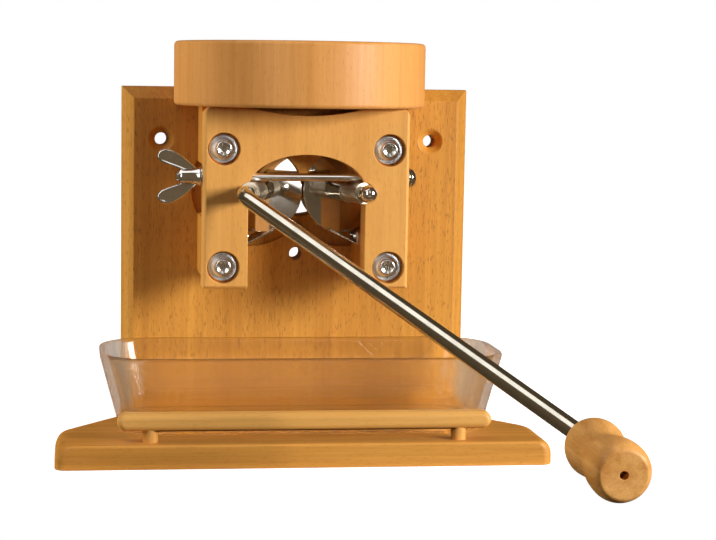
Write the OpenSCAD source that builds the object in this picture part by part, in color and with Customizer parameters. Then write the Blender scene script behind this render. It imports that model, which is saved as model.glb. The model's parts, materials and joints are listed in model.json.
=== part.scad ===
// Hand-cranked grain flaker: a beech mill on a back board, over a glass dish on a base plate.
// Millimetres, +Z up, +Y towards the back, X = 0 in the mill's middle, Z = 0 under the base plate.

/* [Base plate] */
// Thickness of the base plate
base_h = 14.5; // [11:0.5:22]
// Width of the base plate's front part
base_w = 297; // [275:1:310]
// How far the front part, the rail and the dish stand left of the mill's middle
front_shift = 5.5; // [0:0.5:8]
// How far the base plate reaches in front of the front plate
base_reach = 65; // [63:1:80]
// Depth of the front part along its straight sides
base_side = 43.5; // [30:0.5:50]
// Angle of the slanted sides from the depth direction
side_angle = 37; // [30:1:45]
// Rounding of the base plate's corners
base_round = 6; // [2:0.5:9]
// Width of the base plate's softened top edge
base_soft = 1.5; // [0.5:0.25:3]
// Width of the rounding over the base plate's short sides
end_round_w = 6.5; // [3:0.5:9]
// Height of the rounding over the base plate's short sides
end_round_h = 9; // [4:0.5:10]

/* [Back board] */
// Width of the back board
board_w = 225; // [215:1:240]
// Thickness of the back board
board_t = 20; // [18:0.5:26]
// Height of the back board above the base plate
board_h = 208; // [204:1:225]
// Distance from the origin to the back board's front
board_y = 50; // [48:0.5:54]
// Width of the bevel round the board's front
bevel_w = 7.5; // [3:0.5:10]
// Depth of the bevel round the board's front
bevel_d = 8; // [3:0.5:12]
// Distance between the two wall holes
wall_hole_span = 175; // [165:1:185]
// Height of the wall holes above the base plate
wall_hole_up = 174.5; // [150:0.5:185]
// Diameter of the three wall holes
wall_hole_d = 8; // [5:0.5:9]
// Diameter of the countersinks at the two upper wall holes
wall_sink_d = 16; // [12:0.5:20]
// Height of the lower wall hole above the base plate
low_hole_up = 101; // [95:0.5:105]

/* [Mill body] */
// Width of the front plate and of the block behind it
body_w = 128; // [124:1:140]
// Thickness of the front plate
plate_t = 18; // [16:0.5:22]
// Depth of the block behind the front plate
block_d = 38; // [36:0.5:42]
// Height of the front plate
plate_h = 112; // [108:1:122]
// Clear height between the base plate and the front plate
plate_up = 84.5; // [70:0.5:100]
// How much higher the block ends than the front plate below
block_raise = 6.5; // [0:0.5:12]
// Width of the arch through the mill
arch_w = 72.8; // [68:0.1:76]
// Height of the arch's sides above the front plate's underside
arch_side = 61.5; // [56:0.5:64]
// Rise of the arch above its sides
arch_rise = 21.5; // [16:0.5:25]
// Width of the dip in the front plate's top edge
dip_w = 74; // [50:1:90]
// Depth of the dip in the front plate's top edge
dip_d = 5; // [2:0.5:6]
// Width of the front plate's softened edges
plate_soft = 1.5; // [0.5:0.25:2.5]

/* [Body bolts] */
// Sideways distance between the bolts
bolt_span_x = 103; // [100:0.5:106]
// Height of the upper bolts above the front plate's underside
bolt_high = 86.2; // [84:0.1:92]
// Height of the lower bolts above the front plate's underside
bolt_low = 13.2; // [12:0.1:24]
// Diameter of the bolts
bolt_d = 6; // [5:0.5:6]
// Diameter of the bolt heads
head_d = 10.5; // [9:0.5:12]
// Height of the bolt heads
head_h = 5; // [3:0.5:5.5]
// Diameter of the bolt washers
washer_d = 18; // [14:0.5:19]
// Thickness of the bolt washers
washer_t = 1.6; // [1:0.1:2]
// Depth of the bolt pockets in the front plate
pocket_d = 7.5; // [6:0.5:9]
// Length of the bolts under their heads
bolt_l = 64; // [62:0.5:66]
// Diameter of the tee nuts' flanges
flange_d = 19; // [16:0.5:22]
// Thickness of the tee nuts' flanges
flange_t = 1.5; // [1:0.1:2]
// Diameter of the tee nuts' barrels
barrel_d = 8; // [7.5:0.1:9]
// Length of the tee nuts' barrels
barrel_l = 11; // [8:0.5:12]

/* [Rollers] */
// Height of the roller axes above the front plate's underside
axis_up = 59.5; // [58:0.5:60.5]
// Angle of each roller's axis from the depth direction
splay = 18; // [15:0.5:19]
// Radius of the rollers at their front faces
roller_r = 27; // [26:0.25:27.5]
// Length of the rollers along their axes
roller_l = 21; // [17:0.5:21.5]
// Gap between the rollers
nip_gap = 0.64; // [0.3:0.02:1.5]
// Distance from the front plate's back to the middle of the rollers' front faces
roller_in = 12; // [11.5:0.25:12.5]
// Room round the rollers in the block
roller_room = 1.3; // [0.8:0.1:1.6]
// Diameter of the collar on each roller's front
collar_d = 14; // [13.5:0.25:15]
// Diameter of the rear journals
journal_d = 8; // [7:0.25:8.5]
// Wall of the rear bushes
rear_bush_wall = 1.5; // [1:0.1:1.8]
// Wall of the front bushes
front_bush_wall = 1.5; // [1:0.1:1.6]
// Thickness of the thrust washers
thrust_t = 1; // [0.6:0.1:1.5]

/* [Crank] */
// Diameter of the crank rod and of the idle axle
rod_d = 10; // [9:0.25:10.25]
// Distance from the front plate's front to the crank's corner, along the depth
corner_out = 19; // [17:0.5:24]
// Length of the crank arm between its two corners
arm_l = 271.5; // [240:0.5:290]
// Angle of the crank arm in front of its plane of turning
arm_out = 27.5; // [26:0.5:40]
// Angle of the crank arm below the sideways direction, at rest
arm_rest = 28; // [0:1:30]
// Bend radius of the crank rod's middle line
bend_r = 14; // [11:0.5:18]
// Angle by which the handle droops
pin_droop = 3.5; // [0:0.5:12]
// Length of the handle
handle_l = 65.5; // [50:0.5:80]
// Largest diameter of the handle
handle_d = 31.5; // [24:0.5:36]
// Share of its diameter that the handle keeps at its waist
handle_waist = 0.8; // [0.6:0.01:1]
// Diameter of the pin in the handle
pin_d = 8; // [6:0.25:8.5]

/* [Tie rod and wing nut] */
// Diameter of the tie rod
tie_d = 5; // [4:0.25:5.25]
// Height of the tie rod above the roller axes
tie_up = 9.3; // [9.2:0.1:10.5]
// Distance from the front plate's front to the tie rod
tie_in = 9; // [7:0.5:11]
// Length of the wing nut
wing_l = 27; // [20:0.5:29]
// Distance between the wing nut's tips
wing_span = 34; // [26:0.5:36]
// Diameter of the wing nut's hub
wing_hub_d = 10; // [8:0.5:12]

/* [Hopper] */
// Radius of the hopper
hopper_r = 80; // [76:0.5:86]
// Height of the hopper
hopper_h = 40.5; // [36:0.5:48]
// Distance from the back board's front forward to the hopper's middle
hopper_in = 9; // [4:0.5:12]
// Wall of the hopper
hopper_wall = 10; // [8:0.5:14]
// Rounding of the hopper's edges
hopper_soft = 2.5; // [1:0.25:4]

/* [Rail] */
// Length of the rail
rail_l = 224; // [200:1:240]
// Depth of the rail
rail_t = 12; // [11.5:0.5:13]
// Height of the rail
rail_h = 10.5; // [9:0.5:18]
// Gap between the base plate and the rail
rail_up = 7; // [4:0.5:12]
// Distance between the two pegs
peg_span = 185; // [150:1:200]
// Diameter of the pegs
peg_d = 9; // [6:0.5:9.5]

/* [Glass dish] */
// Width of the dish's rim
dish_w = 250; // [230:1:260]
// Depth of the dish's rim
dish_d = 94; // [86:1:95]
// Height of the dish
dish_h = 47.5; // [35:0.5:55]
// Thickness of the dish's walls
dish_wall = 5; // [3.5:0.25:6]
// How much narrower the dish is at its bottom, on each side
dish_taper = 13; // [5:0.5:16]
// Rounding of the dish's corners at its rim
dish_round = 32; // [20:1:36]

/* [Hidden] */
$fn = 64;

// Running clearance of a shaft in its bore, on the radius
run = 0.05;
// Clearance of a fixed piece in its seat, on the radius
seat = 0.02;
// Loose clearance of bolts and rods in wood, on the radius
loose = 0.25;
// Length by which a cut runs past the face that it opens
past = 1;
// Hair's breadth by which a cut passes a face that it shares
hair = 0.01;
// Room under the glass dish
dish_room = 0.3;

// Depths and heights of the mill
plate_back = board_y - block_d;
plate_front = plate_back - plate_t;
board_back = board_y + board_t;
plate_z = base_h + plate_up;
body_top = plate_z + plate_h;
block_z = plate_z + block_raise;
axis_z = plate_z + axis_up;
spring_z = plate_z + arch_side;
board_top = base_h + board_h;
bolt_heights = [plate_z + bolt_low, plate_z + bolt_high];
bolt_soft = 0.8;
socket_w = 4.6;
socket_d = 3;
flange_sunk = 0.5;
pocket_play = 1;
plate_corner = 3.5;
tip_w = 10;

// Depths of the base plate's corners
base_front = plate_front - base_reach;
side_end = base_front + base_side;
slant = tan(side_angle);
left_x = -base_w / 2 - front_shift;
right_x = base_w / 2 - front_shift;
left_reach = -board_w / 2 - left_x;
side_round = base_round + 3;
meet_round = 0.5;

// The rollers: the gap and the splay set how far apart their front faces stand
face_y = plate_back + roller_in;
face_x = roller_r * cos(splay) + nip_gap / 2;
rear_r = roller_r - roller_l * tan(splay);
collar_l = 10.5;
step_gap = 0.2;
journal_step_d = journal_d + 4;
journal_step_l = 6;
front_bush_z = collar_l + thrust_t + 2 * step_gap;
front_bush_l = (face_y - plate_front) / cos(splay) - front_bush_z - 0.3;
rear_bush_z = -(board_y + 5 - face_y) / cos(splay);
rear_bush_l = 8.5;
clip_t = 0.8;
clip_pocket_r = 8;
clip_room = 4;
journal_end = rear_bush_z - rear_bush_l - clip_room;
front_bush_r = rod_d / 2 + run + front_bush_wall;
rear_bush_r = journal_d / 2 + run + rear_bush_wall;
bore_l = 17;
lens_r = 38;
lens_x = 30;
lens_d = 3;
slot_w = 26;
slot_low = 20;
slot_h = 11.5;
slot_mid = 18.2;
window_r = 17;
window_x = body_w / 2 + 3;
tip_up = 11;
throat_front = 6.5;
throat_d = 18;
throat_low_w = 7;
throat_top_w = 24;

// The crank's corners, from its directions
axis_dir = [-sin(splay), -cos(splay), 0];
across_dir = [cos(splay), -sin(splay), 0];
arm_flat = across_dir * cos(arm_rest) - [0, 0, sin(arm_rest)];
arm_dir = arm_flat * cos(arm_out) + axis_dir * sin(arm_out);
pin_dir = [0, -cos(pin_droop), -sin(pin_droop)];
drive_face = [-face_x, face_y, axis_z];
corner_s = (face_y - plate_front + corner_out) / cos(splay);
corner = drive_face + axis_dir * corner_s;
arm_end = corner + arm_dir * arm_l;
turn_1 = acos(axis_dir * arm_dir);
turn_2 = acos(arm_dir * pin_dir);
cut_1 = bend_r * tan(turn_1 / 2);
cut_2 = bend_r * tan(turn_2 / 2);
pin_start = cut_2 + 1.5;
pin_l = handle_l - 8;
ring_t = 1.2;
ring_at = pin_l * 0.7;
vent_r = 2.2;

// The tie rod
tie_y = plate_front + tie_in;
tie_z = axis_z + tie_up;
tie_hole_r = tie_d / 2 + loose;
tie_washer_d = 13;
tie_washer_t = 1.2;
tie_head_d = 12;
tie_head_t = 4.5;
tie_tail = 2;
wing_hub_l = 13.5;
wing_t = 3.2;
wing_lobe = 5;

// The hopper
hopper_y = board_y - hopper_in;
hopper_z = body_top;
hopper_top = hopper_z + hopper_h;
bowl_low = 26;
dowel_d = 8;
dowel_x = 46;
dowel_y = 14;
dowel_down = 12;
dowel_into = 8;
dowel_play = 0.5;

// The rail, its pegs and the dish
rail_room = 2;
dish_front = base_front + 19;
rail_y = dish_front - rail_room - rail_t / 2;
rail_z = base_h + rail_up;
peg_sink = 6.5;
dish_x = -front_shift + 2.5;
dish_mid_y = dish_front + dish_d / 2;
dish_z = base_h + dish_room;

// The screws that hold the board on the base plate
screw_d = 4.5;
screw_head_d = 9;
screw_l = 45;
screw_x = 80;
screw_head_h = 2.8;
screw_sunk = 0.4;
screw_tip_l = 4.5;
cross_w = 4.4;
cross_t = 1;
cross_d = 1.6;

// The scrapers
blade_t = 1.4;
blade_y = 4;
blade_d = 28;
blade_z = axis_z - 34.5;
flange_h = 8.2;
blade_rise = 9;
blade_reach = 18;
blade_room = 0.4;
small_d = 2.5;
small_head_d = 4.4;
small_head_t = 1.5;
small_up = 5.2;
small_l = 10;
small_y1 = 7;
small_y2 = 21;

// Points along part of a circle or an ellipse in the plane
function arc(mid, rx, ry, from, to, n) =
    [for (i = [0:n]) let (a = from + (to - from) * i / n) mid + [rx * cos(a), ry * sin(a)]];

// A vector of length 1
function unit(v) = v / norm(v);

// An outline with its corners rounded; each corner is [point, radius]
function rounded(c, n = 6) = [
    for (i = [0:len(c) - 1])
        let (p = c[i][0], r = c[i][1])
        let (a = unit(c[(i + len(c) - 1) % len(c)][0] - p), b = unit(c[(i + 1) % len(c)][0] - p))
        let (half = acos(max(-1, min(1, a * b))) / 2, m = p + unit(a + b) * r / sin(half))
        let (s = p + a * r / tan(half) - m, e = p + b * r / tan(half) - m)
        for (k = [0:n]) m + unit(s * (n - k) / n + e * k / n) * r
];

// A rigid place: o is the origin, x and z the directions of those two axes
function place(o, x, z) = let (y = cross(z, x)) [
    [x[0], y[0], z[0], o[0]], [x[1], y[1], z[1], o[1]], [x[2], y[2], z[2], o[2]], [0, 0, 0, 1]
];

// Direction square to z and nearest to v
function square_to(z, v) = unit(v - z * (z * v));

// Puts children on a roller's axis: +Z runs to the front, Z = 0 at the front face; side is -1 or 1
module on_axis(side) {
    translate([side * face_x, face_y, axis_z]) rotate([0, 0, side * splay]) rotate([90, 0, 0]) children();
}

// A cylinder along Y
module along_y(r, y0, y1) {
    translate([0, y1, 0]) rotate([90, 0, 0]) cylinder(r = r, h = y1 - y0);
}

// A cylinder along X
module along_x(r, x0, x1) {
    translate([x0, 0, 0]) rotate([0, 90, 0]) cylinder(r = r, h = x1 - x0);
}

// An outline in X and Z, given its thickness along Y
module upright(y0, y1, points) {
    translate([0, y1, 0]) rotate([90, 0, 0]) linear_extrude(y1 - y0) polygon(points);
}

// An outline in Y and Z, given its length along X
module along_x_outline(x0, x1, points) {
    translate([x0, 0, 0]) rotate([90, 0, 90]) linear_extrude(x1 - x0) polygon(points);
}

// Both sides of the mill
module both() {
    for (side = [-1, 1]) mirror([side < 0 ? 1 : 0, 0, 0]) children();
}

// Outline of the base plate's wide front part, drawn in by e
module base_front_outline(e) {
    back = side_end + left_reach / slant;
    polygon(rounded([
        [[left_x + e, base_front + e], base_round],
        [[right_x - e, base_front + e], base_round],
        [[right_x - e, side_end], side_round],
        [[board_w / 2 - e, side_end + (right_x - board_w / 2) / slant], meet_round],
        [[board_w / 2 - e, back + 2], meet_round],
        [[-board_w / 2 + e, back], meet_round],
        [[left_x + e, side_end], side_round]
    ]));
}

// Outline of the base plate's part under the board, drawn in by e
module base_back_outline(e) {
    y0 = side_end;
    translate([-board_w / 2 + e, y0]) square([board_w - 2 * e, board_back - e - y0]);
}

// What is taken off the top of the base plate's right end by its rounding
function end_cut() =
    let (a = end_round_w, b = end_round_h)
    concat(
        arc([right_x - a, base_h - b], a, b, 0, 90, 8),
        [[right_x - a, base_h + past], [right_x + past, base_h + past], [right_x + past, base_h - b]]
    );

// The wooden base plate
module base_plate() {
    color("burlywood") difference() {
        union() {
            linear_extrude(base_h - base_soft) base_front_outline(0);
            linear_extrude(base_h - base_soft) base_back_outline(0);
            translate([0, 0, base_h - base_soft]) linear_extrude(base_soft) base_front_outline(base_soft);
            translate([0, 0, base_h - base_soft]) linear_extrude(base_soft) base_back_outline(base_soft);
            translate([-board_w / 2, board_y, 0]) cube([board_w, board_t, base_h]);
        }
        for (x = [-screw_x, 0, screw_x]) translate([x, board_y + board_t / 2, 0]) {
            translate([0, 0, -past]) cylinder(d = screw_d + 2 * loose, h = base_h + 2 * past);
            translate([0, 0, -hair])
                cylinder(
                    d1 = screw_head_d + 4 * loose, d2 = screw_d + 2 * loose, h = screw_head_h + screw_sunk
                );
        }
        for (side = [-1, 1]) translate([side * peg_span / 2 - front_shift, rail_y, base_h - peg_sink])
            cylinder(d = peg_d + 2 * seat, h = peg_sink + past);
        for (side = [-1, 1]) translate([-front_shift, 0, 0]) mirror([side < 0 ? 1 : 0, 0, 0])
            translate([front_shift, 0, 0]) upright(base_front - past, board_y, end_cut());
    }
}

// The wooden board that the mill is bolted to
module back_board() {
    color("burlywood") difference() {
        intersection() {
            translate([0, 0, base_h]) linear_extrude(board_h) polygon([
                [-board_w / 2, board_back], [board_w / 2, board_back],
                [board_w / 2, board_y + bevel_d], [board_w / 2 - bevel_w, board_y],
                [-board_w / 2 + bevel_w, board_y], [-board_w / 2, board_y + bevel_d]
            ]);
            along_x_outline(-board_w / 2 - past, board_w / 2 + past, [
                [board_y, base_h], [board_back, base_h], [board_back, board_top],
                [board_y + bevel_d, board_top], [board_y, board_top - bevel_w]
            ]);
        }
        for (side = [-1, 1]) translate([side * wall_hole_span / 2, 0, base_h + wall_hole_up]) {
            along_y(wall_hole_d / 2, board_y - past, board_back + past);
            translate([0, board_y - hair, 0]) rotate([-90, 0, 0])
                cylinder(d1 = wall_sink_d, d2 = wall_hole_d, h = (wall_sink_d - wall_hole_d) / 2);
        }
        translate([0, 0, base_h + low_hole_up]) along_y(wall_hole_d / 2, board_y - past, board_back + past);
        for (x = [-screw_x, 0, screw_x]) translate([x, board_y + board_t / 2, base_h - past])
            cylinder(d = screw_d + 2 * seat, h = screw_l - base_h + screw_sunk + 2 * past);
        bolt_cuts(board_y - past, board_back + past);
        for (x = [-1, 1], z = bolt_heights) translate([x * bolt_span_x / 2, 0, z]) {
            along_y(flange_d / 2 + loose, board_back - flange_t - flange_sunk, board_back + past);
            along_y(barrel_d / 2 + seat, board_back - flange_t - flange_sunk - barrel_l, board_back);
        }
        both() translate([lens_x, 0, axis_z]) along_y(lens_r, board_y - past, board_y + lens_d);
        for (side = [-1, 1]) on_axis(side) {
            translate([0, 0, rear_bush_z - rear_bush_l])
                cylinder(r = rear_bush_r + seat, h = rear_bush_l + past);
            translate([0, 0, rear_bush_z]) cylinder(d = journal_step_d + 2 * roller_room, h = board_t);
            translate([0, 0, journal_end - board_t]) cylinder(r = clip_pocket_r, h = board_t + clip_room);
        }
        intersection() {
            translate([-slot_w / 2, board_y - past, axis_z - slot_low])
                cube([slot_w, board_t + 2 * past, slot_h]);
            translate([0, 0, axis_z - slot_mid + lens_r])
                along_y(lens_r, board_y - 2 * past, board_back + 2 * past);
        }
    }
}

// The wood screws up through the base plate into the board
module board_screws() {
    color("silver") for (x = [-screw_x, 0, screw_x])
        translate([x, board_y + board_t / 2, screw_sunk]) difference() {
            rotate_extrude() polygon([
                [0, 0], [screw_head_d / 2, 0], [screw_d / 2, screw_head_h],
                [screw_d / 2, screw_l - screw_tip_l], [screw_sunk, screw_l], [0, screw_l]
            ]);
            for (a = [0, 90]) rotate(a) translate([-cross_w / 2, -cross_t / 2, -past])
                cube([cross_w, cross_t, cross_d + past]);
        }
}

// The wooden rail that keeps the dish from the front edge
module rail() {
    end = rail_h / 2;
    color("burlywood") difference() {
        translate([-front_shift, 0, rail_z + end]) upright(rail_y - rail_t / 2, rail_y + rail_t / 2, concat(
            arc([rail_l / 2 - end, 0], end, end, -90, 90, 12),
            arc([-rail_l / 2 + end, 0], end, end, 90, 270, 12)
        ));
        for (side = [-1, 1]) translate([side * peg_span / 2 - front_shift, rail_y, rail_z - past])
            cylinder(d = peg_d + 2 * seat, h = peg_sink + past);
    }
}

// The two wooden pegs under the rail
module rail_pegs() {
    color("peru") for (side = [-1, 1])
        translate([side * peg_span / 2 - front_shift, rail_y, base_h - peg_sink + 0.2])
            cylinder(d = peg_d, h = 2 * peg_sink + rail_up - 0.4);
}

// A tapered oblong, w by d at the top, with corners rounded by r. Its foot is drawn in by t at the ends
// and by half of that at the long sides.
module tub(w, d, t, r, z0, z1) {
    low = r - t / 2;
    hull() {
        for (sx = [-1, 1], sy = [-1, 1]) {
            translate([sx * (w / 2 - t - low), sy * (d / 2 - t / 2 - low), z0])
                cylinder(r = low, h = 0.1, $fn = 48);
            translate([sx * (w / 2 - r), sy * (d / 2 - r), z1 - 0.1]) cylinder(r = r, h = 0.1, $fn = 48);
        }
    }
}

// The glass dish that catches the flakes
module glass_dish() {
    color("lightcyan") translate([dish_x, dish_mid_y, dish_z]) difference() {
        tub(dish_w, dish_d, dish_taper, dish_round, 0, dish_h);
        tub(
            dish_w - 2 * dish_wall, dish_d - 2 * dish_wall, dish_taper, dish_round - dish_wall,
            dish_wall, dish_h + 0.1
        );
    }
}

// Through holes for the four body bolts
module bolt_cuts(y0, y1) {
    for (x = [-1, 1], z = bolt_heights) translate([x * bolt_span_x / 2, 0, z])
        along_y(bolt_d / 2 + loose, y0, y1);
}

// Room for one roller and its shaft
module roller_pocket(side) {
    on_axis(side) {
        translate([0, 0, -roller_l - roller_room])
            cylinder(r1 = rear_r + roller_room, r2 = roller_r + roller_room, h = roller_l + roller_room);
        cylinder(r = roller_r + roller_room, h = 2 * roller_in);
        translate([0, 0, rear_bush_z])
            cylinder(d = journal_step_d + 2 * roller_room, h = -rear_bush_z - roller_l);
    }
}

// The wooden block round the rollers
module mill_block() {
    color("burlywood") difference() {
        translate([-body_w / 2, plate_back, block_z]) cube([body_w, block_d, body_top - block_z]);
        for (side = [-1, 1]) roller_pocket(side);
        translate([-arch_w / 2, plate_back - past, block_z - past])
            cube([arch_w, block_d + 2 * past, axis_z - block_z + past]);
        translate([-tip_w / 2, plate_back - past, axis_z - past])
            cube([tip_w, block_d + 2 * past, tip_up + past]);
        upright(plate_back + throat_front, plate_back + throat_front + throat_d, [
            [-throat_low_w / 2, axis_z + tip_up - past], [throat_low_w / 2, axis_z + tip_up - past],
            [throat_top_w / 2, body_top + past], [-throat_top_w / 2, body_top + past]
        ]);
        both() translate([window_x, 0, axis_z]) along_y(window_r, plate_back - past, board_y + past);
        bolt_cuts(plate_back - past, board_y + past);
        both() translate([dowel_x, plate_back + dowel_y, body_top - dowel_down - dowel_play])
            cylinder(d = dowel_d + 2 * seat, h = dowel_down + past);
        both() small_places(plate_back + blade_y)
            along_x(small_d / 2 + seat, arch_w / 2 - past, arch_w / 2 + small_l + past);
    }
}

// Outline of the front plate in X and Z, with its arch and the dip in its top edge
function plate_outline() =
    let (w = body_w / 2, c = plate_corner, dip_r = (dip_w * dip_w / 4 + dip_d * dip_d) / (2 * dip_d))
    let (dip_a = asin(dip_w / 2 / dip_r))
    concat(
        [[-w, plate_z], [-arch_w / 2, plate_z]],
        arc([0, spring_z], arch_w / 2, arch_rise, 180, 0, 32),
        [[arch_w / 2, plate_z], [w, plate_z], [w, body_top - c], [w - c, body_top]],
        arc([0, body_top - dip_d + dip_r], dip_r, dip_r, 270 + dip_a, 270 - dip_a, 16),
        [[-w + c, body_top], [-w, body_top - c]]
    );

// The wooden front plate
module front_plate() {
    w = body_w / 2;
    e = plate_soft;
    color("burlywood") difference() {
        intersection() {
            upright(plate_front, plate_back, plate_outline());
            translate([0, 0, plate_z - past]) linear_extrude(plate_h + 2 * past) polygon([
                [-w, plate_back], [-w, plate_front + e], [-w + e, plate_front],
                [w - e, plate_front], [w, plate_front + e], [w, plate_back]
            ]);
            along_x_outline(-w - past, w + past, [
                [plate_front, plate_z + e], [plate_front + e, plate_z], [plate_back, plate_z],
                [plate_back, body_top], [plate_front + e, body_top], [plate_front, body_top - e]
            ]);
        }
        bolt_cuts(plate_front - past, plate_back + past);
        for (x = [-1, 1], z = bolt_heights) translate([x * bolt_span_x / 2, 0, z])
            along_y(washer_d / 2 + pocket_play, plate_front - past, plate_front + pocket_d);
        for (side = [-1, 1]) on_axis(side) translate([0, 0, front_bush_z - 2])
            cylinder(r = front_bush_r + seat, h = front_bush_l + 10);
        translate([0, tie_y, tie_z]) along_x(tie_hole_r, -w - past, w + past);
    }
}

// Washers under the bolt heads
module bolt_washers() {
    y = plate_front + pocket_d;
    color("silver") for (x = [-1, 1], z = bolt_heights) translate([x * bolt_span_x / 2, 0, z]) difference() {
        along_y(washer_d / 2, y - washer_t, y);
        along_y(bolt_d / 2 + loose, y - washer_t - past, y + past);
    }
}

// The four bolts through the front plate, the block and the board
module body_bolts() {
    y = plate_front + pocket_d - washer_t;
    color("gray") for (x = [-1, 1], z = bolt_heights) translate([x * bolt_span_x / 2, 0, z]) difference() {
        translate([0, y, 0]) rotate([90, 0, 0]) rotate_extrude() polygon([
            [0, -bolt_l], [bolt_d / 2 - bolt_soft, -bolt_l], [bolt_d / 2, -bolt_l + bolt_soft],
            [bolt_d / 2, 0], [head_d / 2, 0], [head_d / 2, head_h - bolt_soft],
            [head_d / 2 - bolt_soft, head_h], [0, head_h]
        ]);
        translate([0, y - head_h - past, 0]) rotate([-90, 0, 0])
            cylinder(d = socket_w, h = socket_d + past, $fn = 6);
    }
}

// The tee nuts in the back of the board
module tee_nuts() {
    y = board_back - flange_sunk;
    color("silver") for (x = [-1, 1], z = bolt_heights) translate([x * bolt_span_x / 2, 0, z]) difference() {
        union() {
            along_y(flange_d / 2, y - flange_t, y);
            along_y(barrel_d / 2, y - flange_t - barrel_l + 0.2, y);
        }
        along_y(bolt_d / 2 + seat, y - flange_t - barrel_l - past, y + past);
    }
}

// Plan of the bowl in the hopper, flat at the back
module bowl_plan() {
    intersection() {
        circle(r = hopper_r - hopper_wall, $fn = 96);
        translate([-hopper_r, -2 * hopper_r])
            square([2 * hopper_r, 2 * hopper_r + board_back - hopper_wall - hopper_y]);
    }
}

// The turned wooden hopper, cut flat at the back
module hopper() {
    s = hopper_soft;
    color("burlywood") difference() {
        translate([0, hopper_y, hopper_z]) rotate_extrude($fn = 128) polygon(concat(
            [[0, 0]], arc([hopper_r - s, s], s, s, -90, 0, 4),
            arc([hopper_r - s, hopper_h - s], s, s, 0, 90, 4), [[0, hopper_h]]
        ));
        translate([-hopper_r - past, board_back, hopper_z - past])
            cube([2 * hopper_r + 2 * past, hopper_r, 2 * hopper_h]);
        translate([-hopper_r - past, board_y, hopper_z - past])
            cube([2 * hopper_r + 2 * past, hopper_r, board_top - hopper_z + past]);
        translate([0, hopper_y, hopper_z + bowl_low]) linear_extrude(hopper_h) bowl_plan();
        hull() {
            translate([0, hopper_y, hopper_z + bowl_low]) linear_extrude(0.01) bowl_plan();
            translate([-throat_top_w / 2, plate_back + throat_front, hopper_z - 0.2])
                cube([throat_top_w, throat_d, 0.1]);
        }
        translate([-throat_top_w / 2, plate_back + throat_front, hopper_z - past])
            cube([throat_top_w, throat_d, past + 0.2]);
        both() translate([dowel_x, plate_back + dowel_y, hopper_z - past])
            cylinder(d = dowel_d + 2 * seat, h = dowel_into + dowel_play + past);
    }
}

// The dowels between the block and the hopper
module hopper_dowels() {
    color("peru") both() translate([dowel_x, plate_back + dowel_y, body_top - dowel_down])
        cylinder(d = dowel_d, h = dowel_down + dowel_into);
}

// One roller, with its front collar and its rear journal
module roller(side) {
    c = 0.5;
    color("lightgray") on_axis(side) difference() {
        rotate_extrude($fn = 96) polygon([
            [0, journal_end], [journal_d / 2 - 0.5, journal_end], [journal_d / 2, journal_end + 0.5],
            [journal_d / 2, rear_bush_z + step_gap], [journal_step_d / 2, rear_bush_z + step_gap],
            [journal_step_d / 2, -roller_l], [rear_r - c, -roller_l],
            [rear_r + c * tan(splay), -roller_l + c], [roller_r - c * tan(splay), -c], [roller_r - c, 0],
            [collar_d / 2, 0], [collar_d / 2, collar_l - c], [collar_d / 2 - c, collar_l], [0, collar_l]
        ]);
        translate([0, 0, -bore_l]) cylinder(d = rod_d + 2 * seat, h = bore_l + collar_l + past);
        translate([0, 0, collar_l / 2]) rotate([90, 0, 0]) cylinder(r = 2 + seat, h = collar_d);
        translate([0, 0, rear_bush_z - rear_bush_l - step_gap - clip_t]) difference() {
            cylinder(r = journal_d, h = clip_t);
            cylinder(r = journal_d / 2 - 1, h = clip_t);
        }
    }
}

module drive_roller() { roller(-1); }
module idle_roller() { roller(1); }

// The thrust washer between a roller's collar and its front bush
module thrust_washer(side) {
    color("gold") on_axis(side) translate([0, 0, collar_l + step_gap]) difference() {
        cylinder(d = collar_d, h = thrust_t);
        translate([0, 0, -past]) cylinder(d = rod_d + 2 * run, h = thrust_t + 2 * past);
    }
}

module drive_thrust_washer() { thrust_washer(-1); }
module idle_thrust_washer() { thrust_washer(1); }

// A front bush, held in the front plate's leg
module front_bush(side) {
    color("goldenrod") on_axis(side) translate([0, 0, front_bush_z]) difference() {
        cylinder(r = front_bush_r, h = front_bush_l);
        translate([0, 0, -past]) cylinder(r = rod_d / 2 + run, h = front_bush_l + 2 * past);
    }
}

module drive_front_bush() { front_bush(-1); }
module idle_front_bush() { front_bush(1); }

// A rear bush, held in the board
module rear_bush(side) {
    color("goldenrod") on_axis(side) translate([0, 0, rear_bush_z - rear_bush_l]) difference() {
        cylinder(r = rear_bush_r, h = rear_bush_l);
        translate([0, 0, -past]) cylinder(r = journal_d / 2 + run, h = rear_bush_l + 2 * past);
    }
}

module drive_rear_bush() { rear_bush(-1); }
module idle_rear_bush() { rear_bush(1); }

// The open ring that keeps a journal in its rear bush
module clip(side) {
    r = journal_d / 2 - 1 + seat;
    color("dimgray") on_axis(side) translate([0, 0, rear_bush_z - rear_bush_l - step_gap - clip_t + 0.05])
        linear_extrude(clip_t - 0.1) difference() {
            circle(r = journal_d / 2 + 2.2);
            circle(r = r);
            translate([-r * 0.8, 0]) square([r * 1.6, 2 * journal_d]);
        }
}

module drive_clip() { clip(-1); }
module idle_clip() { clip(1); }

// The headless screw in a roller's collar
module grub_screw(side) {
    l = (collar_d - rod_d) / 2 - 0.2;
    color("dimgray") on_axis(side) translate([0, -rod_d / 2 - 0.1, collar_l / 2]) rotate([90, 0, 0])
        difference() {
            cylinder(r = 2, h = l);
            translate([0, 0, l - 1]) cylinder(d = 2, h = 2, $fn = 6);
        }
}

module drive_grub_screw() { grub_screw(-1); }
module idle_grub_screw() { grub_screw(1); }

// Lengths along the idle roller's axis
stub_end = front_bush_z + front_bush_l + 4;
cap_l = 8;

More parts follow.
